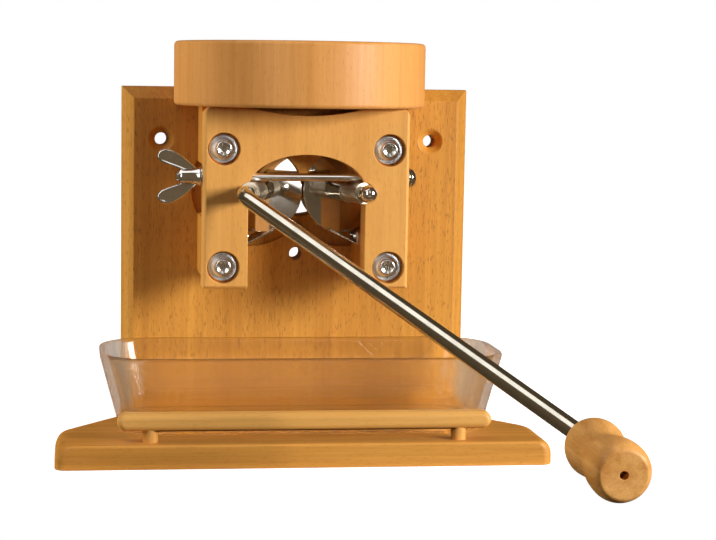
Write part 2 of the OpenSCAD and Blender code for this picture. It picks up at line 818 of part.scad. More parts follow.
// The fixed stub in the idle roller, with a thread for the cap nut
module idle_axle() {
    color("silver") on_axis(1) rotate_extrude() polygon([
        [0, -bore_l + 0.5], [rod_d / 2, -bore_l + 0.5], [rod_d / 2, stub_end], [bolt_d / 2, stub_end],
        [bolt_d / 2, stub_end + cap_l - 3], [0, stub_end + cap_l - 3]
    ]);
}

// The domed nut on the idle axle
module cap_nut() {
    r = rod_d / 2 + 0.6;
    color("whitesmoke") on_axis(1) translate([0, 0, stub_end + 0.1]) difference() {
        rotate_extrude() polygon(concat(
            [[0, 0], [r - 0.4, 0], [r, 0.4], [r, cap_l - r]],
            arc([0, cap_l - r], r, r, 10, 80, 7), [[0, cap_l]]
        ));
        translate([0, 0, -past]) cylinder(r = bolt_d / 2 + seat, h = cap_l - 3 + past + 0.2);
    }
}

// Places along a bend round a corner from direction d1 to d2: each is [point, direction]
function bend_steps(at, d1, d2, turn, cut, n) =
    let (m = square_to(d1, d2), mid = at - d1 * cut + m * bend_r)
    [for (i = [0:n]) let (a = turn * i / n)
        [mid - m * bend_r * cos(a) + d1 * bend_r * sin(a), d1 * cos(a) + m * sin(a)]];

// A tube through the steps, with closed ends
module swept(steps, r, sides) {
    rings = [for (s = steps) let (u = square_to(s[1], [0.2, 0.1, 1]), w = cross(s[1], u))
        for (k = [0:sides - 1]) s[0] + r * (u * cos(360 * k / sides) + w * sin(360 * k / sides))];
    last = len(steps) - 1;
    polyhedron(rings, concat(
        [[for (k = [0:sides - 1]) k]],
        [for (i = [0:last - 1], k = [0:sides - 1])
            let (k2 = (k + 1) % sides)
            [i * sides + k, (i + 1) * sides + k, (i + 1) * sides + k2, i * sides + k2]],
        [[for (k = [0:sides - 1]) last * sides + sides - 1 - k]]
    ));
}

// A straight round piece from a point along a direction
module bar(from, dir, l, r) {
    multmatrix(place(from, square_to(dir, [0.2, 0.1, 1]), dir)) cylinder(r = r, h = l);
}

// The crank, one bent steel rod
module crank_rod() {
    shaft_l = corner_s + bore_l - 0.5 - cut_1 - 1;
    color("silver") difference() {
        union() {
            bar(drive_face - axis_dir * (bore_l - 0.5), axis_dir, shaft_l, rod_d / 2);
            swept(concat(
                [[corner - axis_dir * (cut_1 + 2), axis_dir]],
                bend_steps(corner, axis_dir, arm_dir, turn_1, cut_1, 10),
                bend_steps(arm_end, arm_dir, pin_dir, turn_2, cut_2, 8),
                [[arm_end + pin_dir * (pin_start - 0.5), pin_dir]]
            ), rod_d / 2 - 0.01, 32);
            bar(arm_end + pin_dir * (pin_start - 1.5), pin_dir, pin_l + 1.5, pin_d / 2);
        }
        in_handle() translate([0, 0, ring_at]) difference() {
            cylinder(d = 2 * pin_d, h = ring_t + 0.2);
            cylinder(d = pin_d - 1.4, h = ring_t + 0.2);
        }
    }
}

// Puts children on the handle's pin, Z = 0 at the handle's inner end
module in_handle() {
    multmatrix(place(arm_end + pin_dir * pin_start, [1, 0, 0], pin_dir)) children();
}

// Radius of the handle along its length, t from 0 to 1: two swells and a waist, rounded at both ends
function handle_at(t) =
    let (dip = (1 - handle_waist) * exp(-pow((t - 0.5) / 0.17, 2)))
    let (near = sqrt(1 - pow(1 - min(1, t / 0.26), 2)), far = sqrt(1 - pow(1 - min(1, (1 - t) / 0.14), 2)))
    handle_d / 2 * (1 - dip) * (0.42 + 0.58 * near) * (0.72 + 0.28 * far);

// The turned wooden handle
module crank_handle() {
    n = 28;
    color("burlywood") in_handle() difference() {
        rotate_extrude($fn = 64) polygon(concat(
            [[0, 0.3]],
            [for (i = [0:n]) [handle_at(i / n), 0.3 + (handle_l - 0.3) * i / n]],
            [[0, handle_l]]
        ));
        translate([0, 0, -past]) cylinder(d = pin_d + 2 * run, h = pin_l + past + 0.5);
        translate([0, 0, ring_at - 0.4]) cylinder(d = pin_d + 2, h = ring_t + 1);
        cylinder(r = vent_r, h = handle_l + past);
    }
}

// The spring ring that keeps the handle on its pin
module handle_ring() {
    color("dimgray") in_handle() translate([0, 0, ring_at + 0.1]) linear_extrude(ring_t) difference() {
        circle(d = pin_d + 1.4);
        circle(d = pin_d - 1.4 + 2 * seat);
        translate([-0.8, 0]) square([1.6, pin_d]);
    }
}

// The rod across the mill, with a domed head on the right
module tie_rod() {
    x0 = -body_w / 2 - tie_washer_t - wing_hub_l - tie_tail;
    x1 = body_w / 2 + tie_washer_t;
    color("silver") translate([0, tie_y, tie_z]) {
        along_x(tie_d / 2, x0, x1 + hair);
        translate([x1, 0, 0]) rotate([0, 90, 0]) rotate_extrude()
            polygon(concat([[0, 0], [tie_head_d / 2, 0]], arc([0, 0.5], tie_head_d / 2, tie_head_t - 0.5, 0, 90, 8)));
    }
}

// A washer on the tie rod, from x
module rod_washer(x) {
    color("silver") translate([0, tie_y, tie_z]) difference() {
        along_x(tie_washer_d / 2, x, x + tie_washer_t);
        along_x(tie_d / 2 + run, x - past, x + tie_washer_t + past);
    }
}

module tie_washer() { rod_washer(body_w / 2); }
module wing_washer() { rod_washer(-body_w / 2 - tie_washer_t); }

// The wing nut that draws the front plate's legs together
module wing_nut() {
    x = -body_w / 2 - tie_washer_t;
    hub = wing_hub_d / 2;
    color("silver") translate([x, tie_y, tie_z]) difference() {
        union() {
            rotate([0, -90, 0]) cylinder(r1 = hub + 0.8, r2 = hub - 0.6, h = wing_hub_l);
            for (side = [-1, 1]) upright(-wing_t / 2, wing_t / 2, concat(
                [[-0.5, side * (hub - 1)], [-wing_l * 0.4, side * (hub - 1)]],
                arc(
                    [-wing_l * 0.72, side * (wing_span / 2 - wing_lobe)], wing_l * 0.28, wing_lobe,
                    side * 200, side * 20, 10
                )
            ));
        }
        along_x(tie_d / 2 + run, -wing_l - past, past);
    }
}

// A thin steel scraper under one roller: a flange on the arch's side and a blade up to the roller
module scraper(side) {
    x0 = arch_w / 2;
    y0 = plate_back + blade_y;
    tip_z = blade_z + blade_rise;
    color("silver") difference() {
        mirror([side < 0 ? 1 : 0, 0, 0]) difference() {
            upright(y0, y0 + blade_d, [
                [x0, blade_z], [x0, blade_z + flange_h], [x0 - blade_t, blade_z + flange_h],
                [x0 - blade_t, blade_z + blade_t], [x0 - blade_reach, tip_z + blade_t],
                [x0 - blade_reach, tip_z]
            ]);
            small_places(y0) along_x(small_d / 2 + seat, x0 - 4 * blade_t, x0 + past);
        }
        on_axis(side) translate([0, 0, -roller_l])
            cylinder(r1 = rear_r + blade_room, r2 = roller_r + blade_room, h = roller_l);
        on_axis(side) cylinder(r = roller_r + blade_room, h = blade_room);
    }
}

module left_scraper() { scraper(-1); }
module right_scraper() { scraper(1); }

// The small screws' places on one side, from the scraper's front at y0
module small_places(y0) {
    for (y = [small_y1, small_y2]) translate([0, y0 + y, blade_z + small_up]) children();
}

// The small screws through the scrapers' flanges
module scraper_screws() {
    x = arch_w / 2 - blade_t;
    color("gray") both() small_places(plate_back + blade_y) {
        along_x(small_d / 2, x, x + blade_t + small_l);
        translate([x, 0, 0]) rotate([0, -90, 0])
            cylinder(d1 = small_head_d, d2 = small_head_d - 1.2, h = small_head_t);
    }
}

base_plate();
back_board();
board_screws();
rail();
rail_pegs();
glass_dish();
mill_block();
front_plate();
body_bolts();
bolt_washers();
tee_nuts();
hopper();
hopper_dowels();
tie_rod();
tie_washer();
wing_washer();
wing_nut();
drive_roller();
idle_roller();
drive_thrust_washer();
idle_thrust_washer();
drive_front_bush();
idle_front_bush();
drive_rear_bush();
idle_rear_bush();
drive_clip();
idle_clip();
drive_grub_screw();
idle_grub_screw();
idle_axle();
cap_nut();
left_scraper();
right_scraper();
scraper_screws();
crank_rod();
crank_handle();
handle_ring();
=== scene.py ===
"""A hand-cranked beech grain flaker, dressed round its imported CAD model.

Everything is in metres, in the model's own frame: +Z up, +Y to the back, X = 0 in the
mill's middle and Z = 0 under the base plate.
"""

from __future__ import annotations

import json
import logging
import math
from collections.abc import Callable, Iterable, Sequence
from dataclasses import dataclass
from enum import Enum

import bmesh
import bpy
from bmesh.types import BMEdge, BMesh, BMVert
from bpy.types import Material, Node, NodeSocket, NodeTree, Object
from mathutils import Matrix, Vector


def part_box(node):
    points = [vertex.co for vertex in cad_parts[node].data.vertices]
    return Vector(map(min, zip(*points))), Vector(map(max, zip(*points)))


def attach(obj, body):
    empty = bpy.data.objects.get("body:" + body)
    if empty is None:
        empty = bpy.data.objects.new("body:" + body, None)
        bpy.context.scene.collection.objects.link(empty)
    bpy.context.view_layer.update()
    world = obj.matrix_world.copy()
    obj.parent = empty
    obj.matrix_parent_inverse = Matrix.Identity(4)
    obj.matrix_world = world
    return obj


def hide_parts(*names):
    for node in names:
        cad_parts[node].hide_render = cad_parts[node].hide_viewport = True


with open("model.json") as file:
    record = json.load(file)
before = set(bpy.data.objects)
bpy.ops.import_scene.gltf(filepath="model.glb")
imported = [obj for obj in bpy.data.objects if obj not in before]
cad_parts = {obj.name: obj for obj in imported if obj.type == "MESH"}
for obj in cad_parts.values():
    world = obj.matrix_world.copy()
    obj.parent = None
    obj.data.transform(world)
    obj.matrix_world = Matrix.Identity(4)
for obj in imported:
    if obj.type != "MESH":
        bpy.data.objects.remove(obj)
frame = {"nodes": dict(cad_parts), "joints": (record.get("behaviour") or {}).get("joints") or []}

LOG = logging.getLogger("flaker")
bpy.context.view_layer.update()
JOINTS = {joint["name"]: joint for joint in frame["joints"]}
MM = 0.001
MERGE = 0.002 * MM
UNMOVED = Matrix.Identity(4)
WHITE = (1.0, 1.0, 1.0, 1.0)
BLACK = (0.0, 0.0, 0.0, 1.0)

Colour = tuple[float, float, float, float]
Outline = Sequence[tuple[float, float]]


class Axis(Enum):
    """A direction of the frame."""

    X = 0
    Y = 1
    Z = 2


class Side(Enum):
    """A side of the mill."""

    LEFT = "left"
    RIGHT = "right"


class Carve(Enum):
    """What one shape does to another."""

    TAKE = "DIFFERENCE"
    JOIN = "UNION"


class Sum(Enum):
    """How two values in a node tree are put together."""

    ADD = "ADD"
    LESS = "SUBTRACT"
    TIMES = "MULTIPLY"
    ABOVE = "GREATER_THAN"
    LARGER = "MAXIMUM"


def seen(red: float, green: float, blue: float) -> Colour:
    """A colour from its values on a screen.

    Args:
        red: Its red, from 0 to 255.
        green: Its green, from 0 to 255.
        blue: Its blue, from 0 to 255.

    Returns:
        The colour as Blender mixes it.
    """
    parts = [value / 255 for value in (red, green, blue)]
    red, green, blue = (
        part / 12.92 if part < 0.04045 else ((part + 0.055) / 1.055) ** 2.4 for part in parts
    )
    return red, green, blue, 1.0


def turned(profile: Outline, place: Matrix = UNMOVED, segments: int = 96) -> BMesh:
    """Turns an outline about the place's Z axis.

    Args:
        profile: Points as (radius, height); it closes on itself unless both ends have radius 0.
        place: Where the axis stands.
        segments: Steps of a full turn.

    Returns:
        The closed shape.
    """
    bm = bmesh.new()
    verts = [bm.verts.new((radius, 0.0, height)) for radius, height in profile]
    edges = [bm.edges.new(pair) for pair in zip(verts, verts[1:])]
    if profile[0][0] > 0 or profile[-1][0] > 0:
        edges.append(bm.edges.new((verts[-1], verts[0])))
    bmesh.ops.spin(
        bm,
        geom=verts + edges,
        cent=(0, 0, 0),
        axis=(0, 0, 1),
        angle=math.tau,
        steps=segments,
        use_merge=True,
    )
    bmesh.ops.remove_doubles(bm, verts=bm.verts, dist=MERGE)
    bmesh.ops.recalc_face_normals(bm, faces=bm.faces)
    bmesh.ops.transform(bm, matrix=place, verts=bm.verts)
    return bm


def prism(outline: Iterable[Vector], thickness: Vector) -> BMesh:
    """A flat outline given a thickness.

    Args:
        outline: Its corners in order.
        thickness: The way from one face to the other.

    Returns:
        The closed shape.
    """
    bm = bmesh.new()
    face = bm.faces.new([bm.verts.new(point) for point in outline])
    grown = bmesh.ops.extrude_face_region(bm, geom=[face])
    moved = [item for item in grown["geom"] if isinstance(item, BMVert)]
    bmesh.ops.translate(bm, vec=thickness, verts=moved)
    bmesh.ops.recalc_face_normals(bm, faces=bm.faces)
    return bm


def rounded(corners: Sequence[tuple[Vector, float]], steps: int) -> list[Vector]:
    """A flat outline with its corners rounded.

    Args:
        corners: Each corner with the radius of its rounding.
        steps: Steps of each rounding.

    Returns:
        The outline's points, as many at each corner.
    """
    points = []
    for index, (corner, radius) in enumerate(corners):
        before = (corners[index - 1][0] - corner).normalized()
        after = (corners[(index + 1) % len(corners)][0] - corner).normalized()
        half = before.angle(after) / 2
        middle = corner + (before + after).normalized() * (radius / math.sin(half))
        start = corner + before * (radius / math.tan(half)) - middle
        end = corner + after * (radius / math.tan(half)) - middle
        points += [
            middle + start.slerp(end, step / steps) * radius for step in range(steps + 1)
        ]
    return points


def stacked(rings: Iterable[Sequence[Vector]]) -> BMesh:
    """A closed skin over rings, with a face at either end.

    Args:
        rings: The rings in order, of equally many points.

    Returns:
        The closed shape.
    """
    bm = bmesh.new()
    loops = []
    for ring in rings:
        verts = [bm.verts.new(point) for point in ring]
        loops.append([bm.edges.new(pair) for pair in zip(verts, verts[1:] + verts[:1])])
    for lower, upper in zip(loops, loops[1:]):
        bmesh.ops.bridge_loops(bm, edges=lower + upper)
    for loop in (loops[0], loops[-1]):
        bmesh.ops.edgeloop_fill(bm, edges=loop)
    bmesh.ops.recalc_face_normals(bm, faces=bm.faces)
    return bm


def soften(
    bm: BMesh,
    width: float,
    segments: int = 2,
    sharper: float = 30.0,
    chosen: Callable[[BMEdge], bool] = lambda edge: True,
) -> BMesh:
    """Rounds the shape's outer edges.

    Args:
        bm: The shape.
        width: Width of the rounding.
        segments: Steps of the rounding.
        sharper: Only edges where the faces turn by more than this, in degrees.
        chosen: Says which of those edges are taken.

    Returns:
        The same shape.
    """
    limit = math.radians(sharper)
    edges = [
        edge
        for edge in bm.edges
        if len(edge.link_faces) == 2
        and edge.is_convex
        and edge.calc_face_angle(0.0) > limit
        and chosen(edge)
    ]
    bmesh.ops.bevel(
        bm,
        geom=edges,
        offset=width,
        offset_type="OFFSET",
        segments=segments,
        profile=0.5,
        affect="EDGES",
        clamp_overlap=False,
        material=-1,
    )
    return bm


def as_object(bm: BMesh, name: str) -> Object:
    """Puts a shape in the scene.

    Args:
        bm: The shape, which is used up.
        name: The object's name.

    Returns:
        The object, at the origin.
    """
    mesh = bpy.data.meshes.new(name)
    bm.to_mesh(mesh)
    bm.free()
    made = bpy.data.objects.new(name, mesh)
    bpy.context.scene.collection.objects.link(made)
    return made


def carved(body: BMesh, tool: BMesh, how: Carve = Carve.TAKE) -> BMesh:
    """Takes the tool's shape from the body's, or joins them.

    Args:
        body: The shape to work on, which is used up.
        tool: The other shape, which is used up.
        how: Whether the tool is taken away or joined on.

    Returns:
        The new shape, without edges that bound no face.
    """
    pair = as_object(body, "body"), as_object(tool, "tool")
    step = pair[0].modifiers.new("carve", "BOOLEAN")
    step.operation = how.value
    step.solver = "EXACT"
    step.object = pair[1]
    done = bmesh.new()
    done.from_object(pair[0], bpy.context.evaluated_depsgraph_get())
    for item in pair:
        mesh = item.data
        bpy.data.objects.remove(item)
        bpy.data.meshes.remove(mesh)
    bmesh.ops.remove_doubles(done, verts=done.verts, dist=MERGE)
    loose = [edge for edge in done.edges if edge.is_wire]
    bmesh.ops.delete(done, geom=loose, context="EDGES")
    return done


def together(parts: Iterable[BMesh]) -> BMesh:
    """Puts several shapes in one.

    Args:
        parts: The shapes, which are used up.

    Returns:
        The whole, with each part a shell of its own.
    """
    whole = bmesh.new()
    for part in parts:
        mesh = bpy.data.meshes.new("part")
        part.to_mesh(mesh)
        part.free()
        whole.from_mesh(mesh)
        bpy.data.meshes.remove(mesh)
    return whole


def copies(bm: BMesh, places: Iterable[Vector]) -> BMesh:
    """Puts one copy of a shape at each of some places.

    Args:
        bm: The shape at the origin, which is used up.
        places: How far each copy is moved.

    Returns:
        All copies as one shape.
    """
    shapes = []
    for place in places:
        shape = bm.copy()
        bmesh.ops.translate(shape, vec=place, verts=shape.verts)
        shapes.append(shape)
    bm.free()
    return together(shapes)


def cad_copy(node: str, flat: float = 0.6) -> BMesh:
    """A merged copy of a CAD node's mesh.

    Args:
        node: The node's name.
        flat: Faces that turn by less than this, in degrees, become one.

    Returns:
        The copy.
    """
    bm = bmesh.new()
    bm.from_mesh(frame["nodes"][node].data)
    bmesh.ops.remove_doubles(bm, verts=bm.verts, dist=MERGE)
    bmesh.ops.dissolve_limit(
        bm,
        angle_limit=math.radians(flat),
        use_dissolve_boundaries=False,
        verts=bm.verts,
        edges=bm.edges,
    )
    return bm


def aimed(at: Vector, along: Vector) -> Matrix:
    """A place at a point with its Z axis along a direction."""
    return Matrix.Translation(at) @ along.to_track_quat("Z", "Y").to_matrix().to_4x4()


def middle_of(node: str) -> Vector:
    """The middle of a node's box."""
    low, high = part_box(node)
    return (low + high) / 2


@dataclass(frozen=True)
class Role:
    """What a piece is in the model: its body, a slot name that nothing here uses, and the nodes it
    replaces.
    """

    body: str
    slot: str
    nodes: tuple[str, ...] = ()


def piece(name: str, bm: BMesh, finish: Material, role: Role, crease: float = 40.0) -> Object:
    """Makes a finished piece of the flaker.

    Args:
        name: The piece's name.
        bm: Its shape, which is used up.
        finish: Its material.
        role: What it is in the model.
        crease: Faces that turn by more than this, in degrees, keep a sharp edge.

    Returns:
        The piece.
    """
    bmesh.ops.recalc_face_normals(bm, faces=bm.faces)
    gaps = sum(1 for edge in bm.edges if not edge.is_manifold)
    made = as_object(bm, name)
    made.data.materials.append(finish)
    made.data.shade_smooth()
    made.data.set_sharp_from_angle(angle=math.radians(crease))
    weigh = made.modifiers.new("even_shading", "WEIGHTED_NORMAL")
    weigh.keep_sharp = True
    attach(made, role.body)
    if role.nodes:
        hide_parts(*role.nodes)
    count = len(made.data.polygons)
    LOG.info("%s: %d faces, %d open edges, on %s", name, count, gaps, role.body)
    return made


def dress(nodes: Iterable[str], finish: Material) -> None:
    """Gives their material to CAD nodes that stay as they are.

    Args:
        nodes: The nodes' names.
        finish: The material.
    """
    for node in nodes:
        mesh = frame["nodes"][node].data
        mesh.materials.clear()
        mesh.materials.append(finish)
        LOG.info("%s: dressed in %s", node, finish.name)


class Nodes:
    """A node tree, filled with short calls."""

    def __init__(self, tree: NodeTree) -> None:
        """Takes the tree to fill."""
        self.tree = tree

    def feed(self, socket: NodeSocket, value: object) -> None:
        """Links a socket to another one, or sets its value.

        Args:
            socket: The socket that is fed.
            value: The other socket, or the value.
        """
        if isinstance(value, NodeSocket):
            self.tree.links.new(value, socket)
        else:
            socket.default_value = value

    def add(
        self, kind: str, inputs: dict[str | int, object] | None = None, **settings: object
    ) -> Node:
        """Adds a node.

        Args:
            kind: Its type.
            inputs: What its sockets get, by name or place.
            **settings: Its own settings.

        Returns:
            The node.
        """
        node = self.tree.nodes.new(kind)
        for key, value in settings.items():
            setattr(node, key, value)
        for key, value in (inputs or {}).items():
            self.feed(node.inputs[key], value)
        return node

    def span(
        self, value: NodeSocket, low: float, high: float, start: float, end: float
    ) -> NodeSocket:
        """Takes values from one span to another, and holds them in it.

        Args:
            value: The values.
            low: What becomes the start.
            high: What becomes the end.
            start: The new span's start.
            end: The new span's end.

        Returns:
            The new values.
        """
        inputs = {
            "Value": value,
            "From Min": low,
            "From Max": high,
            "To Min": start,
            "To Max": end,
        }
        return self.add("ShaderNodeMapRange", inputs).outputs[0]

    def sum(self, first: object, second: object, how: Sum = Sum.ADD) -> NodeSocket:
        """Two values added, or put together another way."""
        return self.add("ShaderNodeMath", {0: first, 1: second}, operation=how.value).outputs[0]

    def mixed(self, share: object, first: object, second: object) -> NodeSocket:
        """Two colours mixed: the first where the share is 0, the second where it is 1."""
        inputs = {0: share, 6: first, 7: second}
        return self.add("ShaderNodeMix", inputs, data_type="RGBA").outputs[2]


class Shader(Nodes):
    """One material's nodes."""

    def __init__(self, name: str) -> None:
        """Starts a material with a Principled surface.

        Args:
            name: The material's name.
        """
        self.material = bpy.data.materials.new(name)
        self.material.use_nodes = True
        super().__init__(self.material.node_tree)
        self.surface = self.tree.nodes["Principled BSDF"]

    def surface_set(self, **inputs: object) -> None:
        """Feeds the surface's sockets; an underscore in a name stands for a space."""
        for key, value in inputs.items():
            self.feed(self.surface.inputs[key.replace("_", " ")], value)

    def spots(self) -> NodeSocket:
        """The place on the object."""
        return self.add("ShaderNodeTexCoord").outputs["Object"]

    def scaled(self, scale: Sequence[float], place: NodeSocket | None = None) -> NodeSocket:
        """The place on the object, or another one, scaled along each axis."""
        inputs = {"Vector": place or self.spots(), "Scale": scale}
        return self.add("ShaderNodeMapping", inputs).outputs[0]

    def noise(
        self, place: NodeSocket, detail: float = 2.0, rough: float = 0.5, bent: float = 0.0
    ) -> NodeSocket:
        """Noise from 0 to 1.

        Args:
            place: Where it is read, with one feature in each unit.
            detail: How many finer layers it has.
            rough: How strong the finer layers are.
            bent: How far it is twisted by itself.

        Returns:
            The noise.
        """
        inputs = {
            "Vector": place,
            "Scale": 1.0,
            "Detail": detail,
            "Roughness": rough,
            "Distortion": bent,
        }
        return self.add("ShaderNodeTexNoise", inputs).outputs[0]

    def bumped(self, height: NodeSocket, depth: float, strength: float = 1.0) -> NodeSocket:
        """A surface raised by a height."""
        inputs = {"Height": height, "Strength": strength, "Distance": depth}
        return self.add("ShaderNodeBump", inputs).outputs[0]


@dataclass(frozen=True)
class Figure:
    """One layer of the wood's figure: its features a metre, and how it breaks up."""

    across: float
    along: float
    detail: float
    rough: float = 0.5
    bent: float = 0.0

    def drawn(self, shade: Shader, grain: Axis) -> NodeSocket:
        """Draws the layer.

        Args:
            shade: The material's nodes.
            grain: The way in which the wood grew.

        Returns:
            The layer, from 0 to 1.
        """
        scale = [self.across] * 3
        scale[grain.value] = self.along
        return shade.noise(shade.scaled(scale), self.detail, self.rough, self.bent)


@dataclass(frozen=True)
class Beech:
    """Beech with bands, streaks and short flecks along its grain, under a thin oil."""

    name: str
    pale: Colour
    deep: Colour
    grain: Axis
    fleck: Colour = seen(120, 66, 20)
    bands: float = 26.0
    bands_along: float = 1.6
    fleck_share: float = 0.44
    streak_share: float = 0.5
    hair_share: float = 0.4
    streaks: Figure = Figure(240.0, 6.0, 5.0, 0.62)
    hairs: Figure = Figure(1100.0, 26.0, 2.0)
    flecks: Figure = Figure(1250.0, 240.0, 1.0)
    pore_depth: float = 0.05 * MM
    dull: float = 0.56
    smooth: float = 0.42

    def material(self) -> Material:
        """Makes the material.

        Returns:
            The material.
        """
        shade = Shader(self.name)
        bands = Figure(self.bands, self.bands_along, 3.0, 0.55, 0.6).drawn(shade, self.grain)
        streaks = self.streaks.drawn(shade, self.grain)
        hairs = self.hairs.drawn(shade, self.grain)
        flecks = self.flecks.drawn(shade, self.grain)
        tone = shade.sum(
            shade.span(bands, 0.34, 0.66, 0.0, 1.0 - self.streak_share),
            shade.span(streaks, 0.3, 0.7, 0.0, self.streak_share),
        )
        colour = shade.mixed(tone, self.deep, self.pale)
        fine = shade.span(hairs, 0.5, 0.75, 0.0, self.hair_share)
        colour = shade.mixed(fine, colour, self.deep)
        dark = shade.span(flecks, 0.59, 0.72, 0.0, self.fleck_share)
        colour = shade.mixed(dark, colour, self.fleck)
        height = shade.sum(hairs, shade.span(flecks, 0.6, 0.72, 0.0, 0.9), Sum.LESS)
        shade.surface_set(
            Base_Color=colour,
            Roughness=shade.span(streaks, 0.3, 0.7, self.dull, self.smooth),
            Normal=shade.bumped(height, self.pore_depth, 0.6),
            Specular_IOR_Level=0.28,
            Coat_Weight=0.08,
            Coat_Roughness=0.3,
        )
        return shade.material


@dataclass(frozen=True)
class Metal:
    """Metal with fine marks: rings on a turned piece, and streaks along one axis on others."""

    name: str
    tint: Colour
    rough: float
    spread: float = 0.06
    depth: float = 0.004 * MM
    marks: tuple[float, float, float] = (2600.0, 2600.0, 60.0)
    ring_marks: float = 2400.0
    patches: float = 90.0
    worn_share: float = 0.86

    def material(self, axis: Matrix | None = None) -> Material:
        """Makes the material.

        Args:
            axis: The place of a turned piece's axis, or none.

        Returns:
            The material.
        """
        shade = Shader(self.name if axis is None else f"{self.name}_turned")
        place = shade.scaled(self.marks) if axis is None else self.rings(shade, axis)
        marks = shade.noise(place, 3.0, 0.6)
        patches = shade.noise(shade.scaled((self.patches,) * 3), 3.0, 0.6)
        smooth, dull = self.rough - self.spread, self.rough + self.spread
        rough = shade.sum(
            shade.span(marks, 0.3, 0.7, smooth, dull),
            shade.span(patches, 0.35, 0.7, 0.0, self.spread),
        )
        worn = tuple(value * self.worn_share for value in self.tint[:3]) + (1.0,)
        shade.surface_set(
            Base_Color=shade.mixed(shade.span(patches, 0.4, 0.7, 0.0, 1.0), self.tint, worn),
            Metallic=1.0,
            Roughness=rough,
            Normal=shade.bumped(marks, self.depth),
        )
        return shade.material

    def rings(self, shade: Shader, axis: Matrix) -> NodeSocket:
        """Places that are the same all round an axis, at one height and radius.

        Args:
            shade: The material's nodes.
            axis: The place of the axis.

        Returns:
            The places, scaled for the marks.
        """
        inputs = {
            "Vector": shade.spots(),
            "Location": axis.translation,
            "Rotation": axis.to_euler(),
        }
        local = shade.add("ShaderNodeMapping", inputs, vector_type="TEXTURE").outputs[0]
        across, aside, along = shade.add("ShaderNodeSeparateXYZ", {0: local}).outputs
        flat = shade.add("ShaderNodeCombineXYZ", {0: across, 1: aside}).outputs[0]
        length = shade.add("ShaderNodeVectorMath", {0: flat}, operation="LENGTH")
        radius = length.outputs["Value"]
        both = shade.add("ShaderNodeCombineXYZ", {1: radius, 2: along}).outputs[0]
        return shade.scaled((0.0, self.ring_marks, self.ring_marks), both)


@dataclass(frozen=True)
class Glass:
    """Clear pressed glass with slight waves."""

    name: str
    tint: Colour
    depth: float = 0.12 * MM
    waves: tuple[float, float, float] = (26.0, 26.0, 40.0)
    smears: float = 60.0
    smear_rough: float = 0.03

    def material(self) -> Material:
        """Makes the material.

        Returns:
            The material.
        """
        shade = Shader(self.name)
        waves = shade.noise(shade.scaled(self.waves), 1.5, 0.4)
        smears = shade.noise(shade.scaled((self.smears,) * 3), 3.0, 0.6)
        shade.surface_set(
            Base_Color=self.tint,
            Transmission_Weight=1.0,
            IOR=1.45,
            Alpha=0.66,
            Roughness=shade.span(smears, 0.4, 0.8, 0.0, self.smear_rough),
            Normal=shade.bumped(waves, self.depth),
        )
        return shade.material


@dataclass(frozen=True)
class Finishes:
    """The flaker's finishes."""

    board: Beech = Beech("beech_board", seen(229, 163, 68), seen(187, 122, 41), Axis.Z)
    flat: Beech = Beech(
        "beech_flat",
        seen(233, 164, 73),
        seen(188, 122, 43),
        Axis.X,
        fleck_share=0.16,
    )
    rail: Beech = Beech(
        "beech_rail",
        seen(243, 184, 100),
        seen(212, 152, 72),
        Axis.X,
        fleck_share=0.1,
    )
    plate: Beech = Beech(
        "beech_plate",
        seen(246, 182, 96),
        seen(224, 156, 74),
        Axis.Z,
        bands=16.0,
        fleck_share=0.14,
    )
    hopper: Beech = Beech(
        "beech_hopper",
        seen(236, 168, 92),
        seen(210, 140, 66),
        Axis.Z,
        bands=18.0,
        fleck_share=0.14,
    )
    handle: Beech = Beech(
        "beech_handle",
        seen(244, 184, 108),
        seen(196, 128, 54),
        Axis.Y,
        bands=95.0,
        fleck_share=0.16,
    )
    dowel: Beech = Beech(
        "beech_dowel",
        seen(234, 174, 90),
        seen(202, 140, 60),
        Axis.Z,
        bands=60.0,
        fleck_share=0.1,
    )
    glass: Glass = Glass("pressed_glass", seen(244, 239, 218))
    stainless: Metal = Metal("stainless", seen(218, 215, 210), 0.2, 0.06)
    brushed: Metal = Metal("brushed_steel", seen(220, 232, 244), 0.3, 0.08)
    rod: Metal = Metal("rod_steel", seen(208, 203, 190), 0.13, 0.04)
    roller: Metal = Metal("roller_steel", seen(200, 194, 186), 0.06, 0.02)
    polished: Metal = Metal("polished_steel", seen(222, 220, 217), 0.07, 0.03)
    zinc: Metal = Metal("zinc", seen(188, 190, 192), 0.38)
    spring: Metal = Metal("spring_steel", seen(112, 110, 110), 0.35)
    bronze: Metal = Metal("bronze", seen(216, 204, 184), 0.34)


